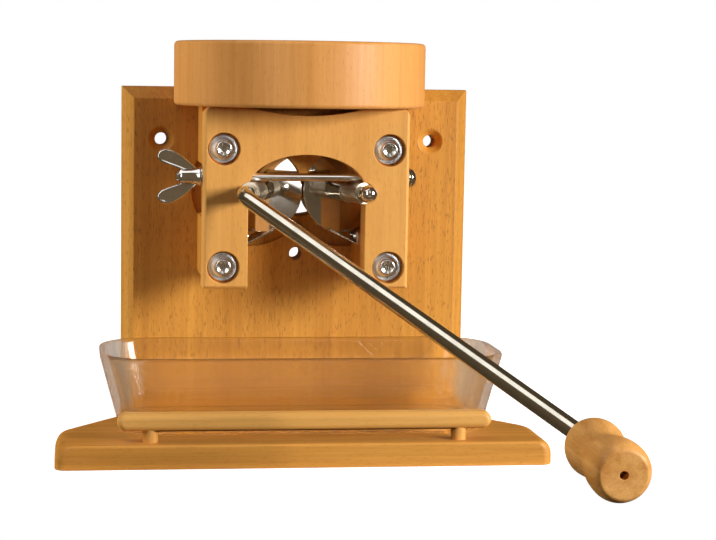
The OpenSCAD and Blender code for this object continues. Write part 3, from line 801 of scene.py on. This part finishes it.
@dataclass
class Stand:
    """The base plate, the back board and the rail with its pegs."""

    finishes: Finishes
    side: float = 43.5 * MM
    slant: float = math.radians(37.0)
    corner: float = 6.0 * MM
    side_corner: float = 9.0 * MM
    inner_corner: float = 0.5 * MM
    end_w: float = 6.5 * MM
    end_h: float = 9.0 * MM
    top_edge: float = 1.5 * MM
    foot_edge: float = 0.6 * MM
    edge: float = 0.6 * MM
    rail_edge: float = 3.6 * MM
    screw_at: tuple[float, float, float] = (-80.0 * MM, 0.0, 80.0 * MM)
    sink: Outline = (
        (0.0, -1.0 * MM),
        (5.0 * MM, -1.0 * MM),
        (5.0 * MM, -0.01 * MM),
        (2.5 * MM, 3.2 * MM),
        (2.5 * MM, 20.0 * MM),
        (0.0, 20.0 * MM),
    )
    sink_steps: int = 48
    round_steps: int = 6
    foot_steps: int = 3
    end_steps: int = 14
    rail_steps: int = 5

    def outline(self, height: float, inward: float, ends: float) -> list[Vector]:
        """The base plate's outline at one height.

        Args:
            height: The height.
            inward: How far all sides are drawn in.
            ends: How far the two short sides are drawn in besides.

        Returns:
            The outline's points.
        """
        low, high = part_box("base_plate")
        board_low, board_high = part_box("back_board")
        turn = low.y + self.side - inward * math.sin(self.slant)

        def on_slant(reach: float, full: float) -> float:
            """The depth of the slanted side where it is so far from the middle."""
            return turn + (full - inward * math.cos(self.slant) - reach) / math.tan(self.slant)

        left, right = low.x + inward + ends, high.x - inward - ends
        inner_left, inner_right = board_low.x + inward, board_high.x - inward
        front, back = low.y + inward, high.y - inward
        corners = (
            (left, front, self.corner),
            (right, front, self.corner),
            (right, on_slant(right, high.x), self.side_corner),
            (inner_right, on_slant(inner_right, high.x), self.inner_corner),
            (inner_right, back, self.inner_corner),
            (inner_left, back, self.inner_corner),
            (inner_left, on_slant(-inner_left, -low.x), self.inner_corner),
            (left, on_slant(-left, -low.x), self.side_corner),
        )
        places = [(Vector((x, y, height)), radius) for x, y, radius in corners]
        return rounded(places, self.round_steps)

    def base(self) -> BMesh:
        """The base plate, with its softened top and the roundings over its short sides.

        Returns:
            The closed shape, with the sinks for its screws.
        """
        low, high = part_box("base_plate")
        rings = []
        for step in range(self.foot_steps + 1):
            angle = step / self.foot_steps * math.pi / 2
            inward = self.foot_edge * (1 - math.sin(angle))
            rings.append(self.outline(low.z + self.foot_edge * (1 - math.cos(angle)), inward, 0.0))
        for step in range(self.end_steps + 1):
            angle = step / self.end_steps * math.pi / 2
            height = high.z - self.end_h * (1 - math.sin(angle))
            over = max(0.0, height - high.z + self.top_edge)
            inward = self.top_edge - math.sqrt(self.top_edge**2 - over**2)
            rings.append(self.outline(height, inward, self.end_w * (1 - math.cos(angle))))
        middle = (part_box("back_board")[0].y + high.y) / 2
        sinks = []
        for x in self.screw_at:
            sinks.append(turned(self.sink, Matrix.Translation((x, middle, 0)), self.sink_steps))
        return carved(stacked(rings), together(sinks))

    def board(self) -> BMesh:
        """The back board with softened edges.

        Returns:
            The closed shape.
        """
        low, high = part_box("back_board")

        def seen_edge(edge: BMEdge) -> bool:
            """Tells a seen edge from the rim of a hole in the board's back.

            Args:
                edge: An edge of the board.

            Returns:
                Whether it lies round the board, in its front or in a hole.
            """
            spots = [vert.co for vert in edge.verts]
            aside = all(min(at.x - low.x, high.x - at.x) < MERGE for at in spots)
            upward = all(min(at.z - low.z, high.z - at.z) < MERGE for at in spots)
            return aside or upward or any(at.y < high.y - MERGE for at in spots)

        return soften(cad_copy("back_board"), self.edge, chosen=seen_edge)

    def rail(self) -> BMesh:
        """The rail with well rounded long edges.

        Returns:
            The closed shape.
        """
        low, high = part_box("rail")

        def on_face(edge: BMEdge) -> bool:
            """Whether the edge bounds the rail's front or back face."""
            depths = [vert.co.y for vert in edge.verts]
            return max(depths) < low.y + MERGE or min(depths) > high.y - MERGE

        return soften(cad_copy("rail"), self.rail_edge, self.rail_steps, 60.0, on_face)

    def build(self) -> None:
        """Builds and dresses the stand."""
        flat = self.finishes.flat.material()
        upright = self.finishes.board.material()
        piece("wooden_base", self.base(), flat, Role("root", "beech", ("base_plate",)))
        piece("wooden_board", self.board(), upright, Role("root", "beech", ("back_board",)))
        along = self.finishes.rail.material()
        piece("dish_rail", self.rail(), along, Role("root", "beech", ("rail",)))
        dress(["rail_pegs", "hopper_dowels"], self.finishes.dowel.material())
        dress(["board_screws", "tee_nuts"], self.finishes.zinc.material())


@dataclass
class Dish:
    """The glass dish that catches the flakes."""

    finishes: Finishes
    wall: float = 5.0 * MM
    taper: float = 13.0 * MM
    corner: float = 32.0 * MM
    least_corner: float = 8.0 * MM
    steps: int = 16
    foot: Outline = ((9.0, 0.0), (4.0, 0.0), (2.0, 0.4), (0.8, 1.4), (0.15, 3.2), (0.0, 5.0))
    rim: Outline = (
        (0.0, -2.8),
        (0.3, -1.4),
        (1.1, -0.4),
        (2.5, 0.0),
        (3.9, -0.4),
        (4.7, -1.4),
        (5.0, -2.8),
    )
    floor: Outline = ((5.0, 9.0), (5.3, 6.0), (6.4, 3.2), (8.4, 1.2), (11.0, 0.3), (14.0, 0.0))

    def ring(self, inward: float, up: float) -> list[Vector]:
        """A rounded oblong round the dish, at one point of its section.

        Args:
            inward: How far the point lies in from the outer side.
            up: How far it lies above the dish's foot.

        Returns:
            The ring's points.
        """
        low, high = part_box("glass_dish")
        middle = (low + high) / 2
        share = 1.0 - up / (high.z - low.z)
        half_x = (high.x - low.x) / 2 - self.taper * share - inward
        half_y = (high.y - low.y) / 2 - self.taper / 2 * share - inward
        corner = max(self.corner - self.taper / 2 * share - inward, self.least_corner)
        corners = [
            (Vector((middle.x + x * half_x, middle.y + y * half_y, low.z + up)), corner)
            for x, y in ((1, 1), (-1, 1), (-1, -1), (1, -1))
        ]
        return rounded(corners, self.steps)

    def build(self) -> None:
        """Builds and dresses the dish."""
        low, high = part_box("glass_dish")
        rises = ((self.foot, 0.0), (self.rim, high.z - low.z), (self.floor, self.wall))
        rings = [
            self.ring(inward * MM, start + up * MM)
            for section, start in rises
            for inward, up in section
        ]
        role = Role("dish", "glass", ("glass_dish",))
        glass = self.finishes.glass.material()
        piece("flake_dish", stacked(rings), glass, role, crease=60.0)


@dataclass
class Mill:
    """The front plate, the block behind it, the scrapers and the bolts."""

    finishes: Finishes
    plate_edge: float = 0.5 * MM
    head_r: float = 5.25 * MM
    head_h: float = 5.0 * MM
    head_edge: float = 1.2 * MM
    bolt_r: float = 3.0 * MM
    bolt_l: float = 64.0 * MM
    socket_r: float = 2.3 * MM
    socket_d: float = 3.0 * MM
    funnel_r: float = 3.7 * MM
    funnel_d: float = 0.8 * MM
    washer_t: float = 1.6 * MM
    washer_edge: float = 0.5 * MM
    washer_dip: float = 0.6 * MM
    washer_room: float = 0.25 * MM
    socket_edge: float = 0.2 * MM
    hopper_edge: float = 0.5 * MM
    blade_edge: float = 0.12 * MM
    bolt_steps: int = 64
    head_steps: int = 8
    washer_steps: int = 72
    dip_steps: int = 16

    def bolt_x(self) -> float:
        """How far the bolts stand to each side."""
        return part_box("body_bolts")[1].x - self.head_r

    def bolt_places(self) -> list[Vector]:
        """The middles of the washers' backs, from the washers' box.

        Returns:
            One place for each bolt.
        """
        low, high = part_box("bolt_washers")
        washer_r = (high.x - low.x) / 2 - self.bolt_x()
        return [
            Vector((x, high.y, z))
            for x in (-self.bolt_x(), self.bolt_x())
            for z in (low.z + washer_r, high.z - washer_r)
        ]

    def bolt(self) -> BMesh:
        """A bolt with a rounded head and a hexagon socket.

        Returns:
            The closed shape, with the underside of its head at the origin.
        """
        head, top, under = self.head_r, self.head_h, -self.bolt_l
        place = Matrix.Rotation(math.pi / 2, 4, "X")
        shank = [(0, under), (self.bolt_r, under), (self.bolt_r, 0)]
        deep = top - self.funnel_d
        funnel = [(self.funnel_r, top), (self.socket_r, deep), (0, deep)]
        shape = turned([*shank, (head, 0), (head, top), *funnel], place, self.bolt_steps)

        def on_top(edge: BMEdge) -> bool:
            """Whether the edge lies in the head's top."""
            return all(vert.co.y < -top + MERGE for vert in edge.verts)

        soften(shape, self.head_edge, self.head_steps, 40.0, on_top)
        floor, over, corner = top - self.socket_d, top + MM, self.socket_r
        socket = [(0, floor), (corner, floor), (corner, over), (0, over)]
        shape = carved(shape, turned(socket, place, segments=6))

        def in_front(edge: BMEdge) -> bool:
            """Whether the edge starts in the front half of the head."""
            return edge.verts[0].co.y < -top / 2

        return soften(shape, self.socket_edge, sharper=50.0, chosen=in_front)

    def washer(self) -> BMesh:
        """A washer with a round valley in its front.

        Returns:
            The closed shape, with its back at the origin.
        """
        low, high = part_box("bolt_washers")
        outer = (high.x - low.x) / 2 - self.bolt_x()
        inner, flat, edge = self.bolt_r + self.washer_room, self.head_r, self.washer_edge
        top, soft = self.washer_t, edge * (1 - math.sqrt(0.5))
        profile = [(inner, 0), (outer, 0), (outer, top - edge), (outer - soft, top - soft)]
        for step in range(self.dip_steps + 1):
            share = step / self.dip_steps
            dip = self.washer_dip * (1 - math.cos(math.tau * share)) / 2
            profile.append((outer - edge + (flat - outer + edge) * share, top - dip))
        profile.append((inner, top))
        return turned(profile, Matrix.Rotation(math.pi / 2, 4, "X"), self.washer_steps)

    def build(self) -> None:
        """Builds and dresses the mill's body."""
        stainless = self.finishes.stainless.material()
        plate = soften(cad_copy("front_plate"), self.plate_edge)
        role = Role("root", "beech_pale", ("front_plate",))
        piece("mill_front", plate, self.finishes.plate.material(), role)
        dress(["mill_block"], self.finishes.board.material())
        hopper = soften(cad_copy("hopper"), self.hopper_edge, sharper=60.0)
        role = Role("root", "beech_hopper", ("hopper",))
        piece("grain_hopper", hopper, self.finishes.hopper.material(), role)
        places = self.bolt_places()
        lift = Vector((0.0, -self.washer_t, 0.0))
        bolts = copies(self.bolt(), [place + lift for place in places])
        piece("plate_bolts", bolts, stainless, Role("root", "zinc", ("body_bolts",)))
        washers = copies(self.washer(), places)
        brushed = self.finishes.brushed.material()
        piece("plate_washers", washers, brushed, Role("root", "stainless", ("bolt_washers",)))
        for side in Side:
            node = f"{side.value}_scraper"
            blade = soften(cad_copy(node), self.blade_edge, 1, 60.0)
            role = Role("root", "stainless", (node,))
            piece(f"{side.value}_blade", blade, stainless, role)
        dress(["scraper_screws"], stainless)


@dataclass
class Tie:
    """The rod across the mill, with its domed head, its washers and the wing nut."""

    finishes: Finishes
    rod_r: float = 2.5 * MM
    rod_tip: float = 0.5 * MM
    dome_h: float = 4.0 * MM
    rim_h: float = 0.5 * MM
    rim_in: float = 0.3 * MM
    rim_up: float = 0.25 * MM
    dome_steps: int = 12
    round_steps: int = 64
    ring_edge: float = 0.35 * MM
    bore_r: float = 2.55 * MM
    wing_t: float = 3.2 * MM
    wing_edge: float = 1.45 * MM
    hollow_in: float = 2.3 * MM
    hollow_d: float = 0.9 * MM
    hub: Outline = (
        (5.4, 0.0),
        (5.8, 0.4),
        (5.8, 1.2),
        (5.2, 2.4),
        (4.9, 6.0),
        (4.6, 11.5),
        (4.4, 12.7),
        (3.8, 13.5),
    )
    leaf: Outline = (
        (0.8, 3.6),
        (10.2, 3.6),
        (14.5, 5.0),
        (20.0, 6.9),
        (24.2, 8.6),
        (26.6, 10.9),
        (26.9, 13.4),
        (25.2, 15.7),
        (21.6, 16.95),
        (17.4, 16.3),
        (12.6, 13.5),
        (7.4, 9.4),
    )

    def rod(self) -> BMesh:
        """The rod with its domed head.

        Returns:
            The closed shape.
        """
        low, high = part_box("tie_rod")
        middle = middle_of("tie_rod")
        length, head_r = high.x - low.x, (high.z - low.z) / 2
        under = length - self.dome_h - self.rim_h
        profile = [(0, 0), (self.rod_r - self.rod_tip, 0), (self.rod_r, self.rod_tip)]
        profile += [(self.rod_r, under), (head_r - self.rim_in, under)]
        profile.append((head_r, under + self.rim_up))
        for step in range(self.dome_steps + 1):
            angle = step / self.dome_steps * math.pi / 2
            up = length - self.dome_h * (1 - math.sin(angle))
            profile.append((head_r * math.cos(angle), up))
        profile[-1] = (0, length)
        place = aimed(Vector((low.x, middle.y, middle.z)), Vector((1, 0, 0)))
        return turned(profile, place, self.round_steps)

    def wing(self, up: int) -> BMesh:
        """One wing of the nut, with hollowed faces.

        Args:
            up: 1 for the wing above the hub, -1 for the one below.

        Returns:
            The closed shape.
        """
        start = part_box("wing_nut")[1].x
        middle = middle_of("wing_nut")
        half = Vector((0.0, self.wing_t / 2, 0.0))
        outline = [
            Vector((start - out * MM, middle.y, middle.z + up * rise * MM)) - half
            for out, rise in self.leaf
        ]
        shape = prism(outline, half * 2)
        faces = [face for face in shape.faces if len(face.verts) == len(self.leaf)]
        bmesh.ops.inset_region(shape, faces=faces, thickness=self.hollow_in, depth=0.0)
        for face in faces:
            push = -face.normal * self.hollow_d
            bmesh.ops.translate(shape, vec=push, verts=face.verts)
        return soften(shape, self.wing_edge, 4, 60.0)

    def nut(self) -> BMesh:
        """The wing nut: a hub that narrows outwards, and two wings.

        Returns:
            The closed shape.
        """
        middle = middle_of("wing_nut")
        start = Vector((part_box("wing_nut")[1].x, middle.y, middle.z))
        outer = [(radius * MM, height * MM) for radius, height in self.hub]
        length = outer[-1][1]
        profile = [*outer, (self.bore_r, length), (self.bore_r, 0.0)]
        hub = turned(profile, aimed(start, Vector((-1, 0, 0))), self.round_steps)
        for up in (1, -1):
            hub = carved(hub, self.wing(up), Carve.JOIN)
        return hub

    def build(self) -> None:
        """Builds and dresses the rod and its nut."""
        bright = self.finishes.polished.material()
        piece("clamp_rod", self.rod(), bright, Role("root", "stainless", ("tie_rod",)))
        role = Role("wing", "stainless", ("wing_nut",))
        piece("winged_nut", self.nut(), bright, role, crease=50.0)
        for node, body in (("tie_washer", "root"), ("wing_washer", "wing_slide")):
            washer = soften(cad_copy(node), self.ring_edge, 3, 60.0)
            piece(f"{node}_ring", washer, bright, Role(body, "stainless", (node,)))


@dataclass
class Rollers:
    """The two conical rollers with their shafts' bushes, washers and rings."""

    finishes: Finishes
    edge: float = 0.25 * MM
    cap_edge: float = 0.2 * MM

    def axis(self, side: Side) -> Matrix:
        """The place of a roller's axis, its Z to the front."""
        joint = JOINTS["crank_turn" if side is Side.LEFT else "idle_turn"]
        return aimed(Vector(joint["pos_m"]), Vector(joint["axis"]))

    def build(self) -> None:
        """Builds and dresses the rollers and what carries them."""
        names = {Side.LEFT: ("drive", "crank"), Side.RIGHT: ("idle", "idler")}
        for side, (name, body) in names.items():
            steel = self.finishes.roller.material(self.axis(side))
            node = f"{name}_roller"
            roller = soften(cad_copy(node), self.edge)
            piece(f"{name}_cone", roller, steel, Role(body, "roller_steel", (node,)))
        bronze = self.finishes.bronze.material()
        spring = self.finishes.spring.material()
        for name, _ in names.values():
            dress([f"{name}_thrust_washer", f"{name}_front_bush", f"{name}_rear_bush"], bronze)
            dress([f"{name}_clip", f"{name}_grub_screw"], spring)
        dress(["handle_ring"], spring)
        dress(["idle_axle"], self.finishes.rod.material())
        polished = self.finishes.polished.material(self.axis(Side.RIGHT))
        cap = soften(cad_copy("cap_nut"), self.cap_edge, sharper=50.0)
        piece("domed_nut", cap, polished, Role("idler", "polished", ("cap_nut",)))


@dataclass
class Crank:
    """The bent steel rod and its turned handle."""

    finishes: Finishes
    rod_r: float = 5.0 * MM
    pin_r: float = 4.0 * MM
    bend_r: float = 14.0 * MM
    corner_out: float = 19.0 * MM
    inside: float = 16.5 * MM
    shoulder: float = 1.5 * MM
    chamfer: float = 0.5 * MM
    handle_l: float = 65.5 * MM
    handle_r: float = 15.75 * MM
    handle_gap: float = 0.3 * MM
    handle_edge: float = 0.4 * MM
    waist: float = 0.8
    waist_long: float = 0.17
    near_long: float = 0.26
    near_r: float = 0.42
    far_long: float = 0.14
    far_r: float = 0.72
    vent_r: float = 2.2 * MM
    pin_short: float = 8.0 * MM
    pin_room: float = 0.05 * MM
    end_room: float = 0.5 * MM
    round_steps: int = 48
    bend_steps: int = 18
    handle_steps: int = 90

    def __post_init__(self) -> None:
        """Works out the rod's corners and directions from the joints."""
        turn, grip = JOINTS["crank_turn"], JOINTS["handle_turn"]
        self.face = Vector(turn["pos_m"])
        self.shaft = Vector(turn["axis"]).normalized()
        reach = self.face.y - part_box("front_plate")[0].y + self.corner_out
        self.corner = self.face - self.shaft * (reach / self.shaft.y)
        self.end = Vector(grip["pos_m"])
        self.pin = Vector(grip["axis"]).normalized()
        self.arm = (self.end - self.corner).normalized()

    def cut(self, before: Vector, after: Vector) -> float:
        """How far before its corner a bend starts."""
        return self.bend_r * math.tan(before.angle(after) / 2)

    def onward(self, bm: BMesh, loop: list[BMEdge], way: Vector) -> list[BMEdge]:
        """Draws a loop of edges out straight.

        Args:
            bm: The rod.
            loop: The edges at its end.
            way: How far, and in which direction.

        Returns:
            The edges at its new end.
        """
        grown = bmesh.ops.extrude_edge_only(bm, edges=loop)["geom"]
        moved = [item for item in grown if isinstance(item, BMVert)]
        bmesh.ops.translate(bm, vec=way, verts=moved)
        return [item for item in grown if isinstance(item, BMEdge) and item.is_boundary]

    def bend(
        self, bm: BMesh, loop: list[BMEdge], at: Vector, before: Vector, after: Vector
    ) -> list[BMEdge]:
        """Draws a loop of edges round the bend at a corner.

        Args:
            bm: The rod.
            loop: The edges where the bend starts.
            at: The corner.
            before: The rod's direction before the corner.
            after: Its direction after it.

        Returns:
            The edges where the bend ends.
        """
        inward = (after - before * before.dot(after)).normalized()
        start = at - before * self.cut(before, after)
        last = bmesh.ops.spin(
            bm,
            geom=loop,
            cent=start + inward * self.bend_r,
            axis=before.cross(after).normalized(),
            angle=before.angle(after),
            steps=self.bend_steps,
        )["geom_last"]
        return [item for item in last if isinstance(item, BMEdge)]

    def rod(self) -> BMesh:
        """The rod: its shaft in the roller, its two bends and the pin in the handle.

        Returns:
            The closed shape.
        """
        bm = bmesh.new()
        start = self.face - self.shaft * self.inside
        cut_1, cut_2 = self.cut(self.shaft, self.arm), self.cut(self.arm, self.pin)
        bmesh.ops.create_circle(
            bm, radius=self.rod_r, segments=self.round_steps, matrix=aimed(start, self.shaft)
        )
        loop = list(bm.edges)
        to_bend = (self.corner - start).length - cut_1
        loop = self.onward(bm, loop, self.shaft * to_bend)
        loop = self.bend(bm, loop, self.corner, self.shaft, self.arm)
        arm_l = (self.end - self.corner).length - cut_1 - cut_2
        loop = self.onward(bm, loop, self.arm * arm_l)
        loop = self.bend(bm, loop, self.end, self.arm, self.pin)
        loop = self.onward(bm, loop, self.pin * (self.shoulder - self.chamfer))
        loop = self.onward(bm, loop, self.pin * self.chamfer)
        middle = self.end + self.pin * (cut_2 + self.shoulder)
        bmesh.ops.scale(
            bm,
            vec=Vector((1, 1, 1)) * (self.pin_r / self.rod_r),
            verts=list({vert for edge in loop for vert in edge.verts}),
            space=Matrix.Translation(-middle),
        )
        self.onward(bm, loop, self.pin * (self.handle_l - self.pin_short))
        bmesh.ops.edgeloop_fill(bm, edges=[edge for edge in bm.edges if edge.is_boundary])
        return bm

    def radius(self, share: float) -> float:
        """The handle's radius: two swells, a waist between them and round ends.

        Args:
            share: Where it is taken, as a share of the handle's length.

        Returns:
            The radius there.
        """
        dip = (1 - self.waist) * math.exp(-(((share - 0.5) / self.waist_long) ** 2))
        near = math.sqrt(1 - (1 - min(1, share / self.near_long)) ** 2)
        far = math.sqrt(1 - (1 - min(1, (1 - share) / self.far_long)) ** 2)
        near = self.near_r + (1 - self.near_r) * near
        far = self.far_r + (1 - self.far_r) * far
        return self.handle_r * (1 - dip) * near * far

    def handle(self) -> BMesh:
        """The turned handle, with the bore for its pin and the hole in its end.

        Returns:
            The closed shape.
        """
        count, inner = self.handle_steps, self.handle_gap
        shares = [0.5 - 0.5 * math.cos(math.pi * index / count) for index in range(count + 1)]
        bore_r = self.pin_r + self.pin_room
        bore_l = self.handle_l - self.pin_short + self.end_room
        long = self.handle_l - inner
        profile = [(self.radius(share), inner + long * share) for share in shares]
        profile += [(self.vent_r, self.handle_l), (self.vent_r, bore_l)]
        profile += [(bore_r, bore_l), (bore_r, inner)]
        start = self.end + self.pin * (self.cut(self.arm, self.pin) + self.shoulder)
        shape = turned(profile, aimed(start, self.pin))
        return soften(shape, self.handle_edge, sharper=50.0)

    def build(self) -> None:
        """Builds and dresses the crank."""
        steel = self.finishes.rod.material()
        piece("bent_rod", self.rod(), steel, Role("crank", "rod_steel", ("crank_rod",)))
        wood = self.finishes.handle.material()
        role = Role("handle", "beech_handle", ("crank_handle",))
        piece("turned_handle", self.handle(), wood, role)


@dataclass(frozen=True)
class Lamp:
    """A soft box: where it is as seen from the flaker, its size and its brightness.

    Its angles are in degrees, and azimuth 0 is in front of the flaker. One that isn't
    mirrored is left out of what metal and glass reflect. One that isn't lighting shows
    only in those reflections.
    """

    name: str
    azimuth: float
    elevation: float
    far: float
    wide: float
    high: float
    bright: float
    mirrored: bool = True
    lighting: bool = True
    aim: tuple[float, float, float] = (0.0, 0.0, 0.13)

    def build(self) -> None:
        """Hangs the lamp and turns it to the flaker."""
        aside, up = math.radians(self.azimuth), math.radians(self.elevation)
        level = Vector((math.sin(aside), -math.cos(aside), 0.0)) * math.cos(up)
        way = level + Vector((0.0, 0.0, math.sin(up)))
        light = bpy.data.lights.new(self.name, "AREA")
        light.shape = "RECTANGLE"
        light.size, light.size_y = self.wide, self.high
        light.energy = self.bright * math.pi * self.wide * self.high
        lamp = bpy.data.objects.new(self.name, light)
        lamp.location = Vector(self.aim) + way * self.far
        lamp.rotation_euler = way.to_track_quat("Z", "Y").to_euler()
        lamp.visible_glossy, lamp.visible_diffuse = self.mirrored, self.lighting
        bpy.context.scene.collection.objects.link(lamp)


@dataclass
class Studio:
    """The table, the backdrop, the lamps and the camera."""

    camera_place: tuple[float, float, float] = (-0.14117, -1.12538, 0.23269)
    azimuth: float = math.radians(7.0)
    pitch: float = math.radians(6.17)
    roll: float = math.radians(0.8)
    lens: float = 92.0
    sensor: float = 36.0
    shift: float = 58 / 716
    table_edge: float = 3.0 * MM
    table_size: float = 6.0
    table_glow: float = 0.75
    glow_starts: float = 0.4
    glow_full: float = 1.0
    pale: Colour = seen(243, 243, 243)
    # Painted reflection: the dark brown that metal and glass see in the pale table, in place of a
    # dim room.
    mirrored: Colour = seen(112, 92, 66)
    fill: Colour = (1.0, 0.78, 0.42, 1.0)
    fill_level: float = 0.05
    shine: Colour = (1.0, 0.72, 0.42, 1.0)
    shine_front: float = 0.17
    shine_back: float = 0.09
    through: Colour = (1.0, 0.95, 0.97, 1.0)
    inner: float = 0.18
    through_glow: float = 0.3
    lamps: tuple[Lamp, ...] = (
        Lamp("key", 53.0, 13.0, 1.75, 0.54, 0.54, 43.5),
        Lamp("left", -91.0, 7.0, 1.6, 0.9, 0.7, 7.8, mirrored=False),
        Lamp("top", -70.0, 62.0, 1.5, 1.3, 1.3, 1.5),
        Lamp("strip", -29.5, 17.0, 1.5, 0.36, 1.06, 3.6, lighting=False),
        Lamp("front", 9.0, 34.0, 1.5, 0.3, 0.8, 1.2, lighting=False),
    )

    def glazed(self, nodes: Nodes) -> NodeSocket:
        """How much of the background shows in the glass.

        Args:
            nodes: The nodes of what lies behind the glass.

        Returns:
            All of it straight through the glass, less after a turn in it, and else none.
        """
        rays = nodes.add("ShaderNodeLightPath").outputs
        inside = nodes.sum(rays["Transmission Depth"], 0.5, Sum.ABOVE)
        back = nodes.sum(rays["Is Glossy Ray"], inside, Sum.TIMES)
        back = nodes.sum(back, self.inner, Sum.TIMES)
        return nodes.sum(rays["Is Transmission Ray"], back, Sum.LARGER)

    def table(self) -> None:
        """The pale table top, which ends just in front of the base plate; metal and glass see it
        in a painted dark brown, a painted reflection.
        """
        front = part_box("base_plate")[0].y - self.table_edge
        half = self.table_size / 2
        bm = bmesh.new()
        bmesh.ops.create_grid(bm, x_segments=1, y_segments=1, size=half)
        bmesh.ops.translate(bm, vec=(0.0, front + half, 0.0), verts=bm.verts)
        table = as_object(bm, "table")
        shade = Shader("pale_table")
        away = shade.add("ShaderNodeVectorMath", {0: shade.spots()}, operation="LENGTH")
        far = away.outputs["Value"]
        glow = shade.span(far, self.glow_starts, self.glow_full, self.table_glow, 1.0)
        rays = shade.add("ShaderNodeLightPath").outputs
        camera = rays["Is Camera Ray"]
        glow = shade.sum(camera, glow, Sum.TIMES)
        passed = shade.sum(self.glazed(shade), self.through_glow, Sum.TIMES)
        shade.surface_set(
            # Painted reflection: glossy rays see the table in the dark brown mirrored colour,
            # while the camera sees it pale.
            Base_Color=shade.mixed(rays["Is Glossy Ray"], self.pale, self.mirrored),
            Roughness=0.85,
            Specular_IOR_Level=0.1,
            Emission_Color=shade.mixed(camera, self.through, WHITE),
            Emission_Strength=shade.sum(glow, passed, Sum.LARGER),
        )
        table.data.materials.append(shade.material)

    def backdrop(self) -> None:
        """The world: white behind the flaker, and a dim room on the camera's side."""
        world = bpy.data.worlds.new("studio")
        world.use_nodes = True
        bpy.context.scene.world = world
        nodes = Nodes(world.node_tree)
        sky = nodes.tree.nodes["Background"]
        way = nodes.add("ShaderNodeTexCoord").outputs["Generated"]
        back = nodes.add("ShaderNodeSeparateXYZ", {0: way}).outputs[1]
        rays = nodes.add("ShaderNodeLightPath").outputs
        shine = nodes.span(back, -1.0, 0.1, self.shine_front, self.shine_back)
        glossy, camera = rays["Is Glossy Ray"], rays["Is Camera Ray"]
        level = nodes.add("ShaderNodeMix", {0: glossy, 2: self.fill_level, 3: shine}).outputs[0]
        colour = nodes.mixed(glossy, self.fill, self.shine)
        lit = nodes.mixed(level, BLACK, colour)
        glass = nodes.mixed(self.glazed(nodes), lit, self.through)
        nodes.feed(sky.inputs["Color"], nodes.mixed(camera, glass, WHITE))
        sky.inputs["Strength"].default_value = 1.0

    def camera(self) -> None:
        """The camera at the photograph's angle."""
        level = Vector((math.sin(self.azimuth), math.cos(self.azimuth), 0.0))
        ahead = level * math.cos(self.pitch) - Vector((0.0, 0.0, math.sin(self.pitch)))
        right = Vector((math.cos(self.azimuth), -math.sin(self.azimuth), 0.0))
        up = right.cross(ahead)
        across = right * math.cos(self.roll) + up * math.sin(self.roll)
        upward = up * math.cos(self.roll) - right * math.sin(self.roll)
        data = bpy.data.cameras.new("camera")
        data.lens = self.lens
        data.sensor_width = self.sensor
        data.shift_x = self.shift
        data.clip_start, data.clip_end = 0.01, 50.0
        camera = bpy.data.objects.new("camera", data)
        turn = Matrix((across, upward, -ahead)).transposed().to_4x4()
        camera.matrix_world = Matrix.Translation(self.camera_place) @ turn
        bpy.context.scene.collection.objects.link(camera)
        bpy.context.scene.camera = camera

    def build(self) -> None:
        """Builds the studio."""
        self.table()
        self.backdrop()
        self.camera()
        for lamp in self.lamps:
            lamp.build()
        bpy.context.scene.view_settings.view_transform = "Standard"


def main() -> None:
    """Builds the flaker and its studio."""
    logging.basicConfig(level=logging.INFO, format="%(message)s")
    finishes = Finishes()
    for part in (Stand, Dish, Mill, Tie, Rollers, Crank):
        part(finishes).build()
    Studio().build()


if __name__ == "__main__":
    main()
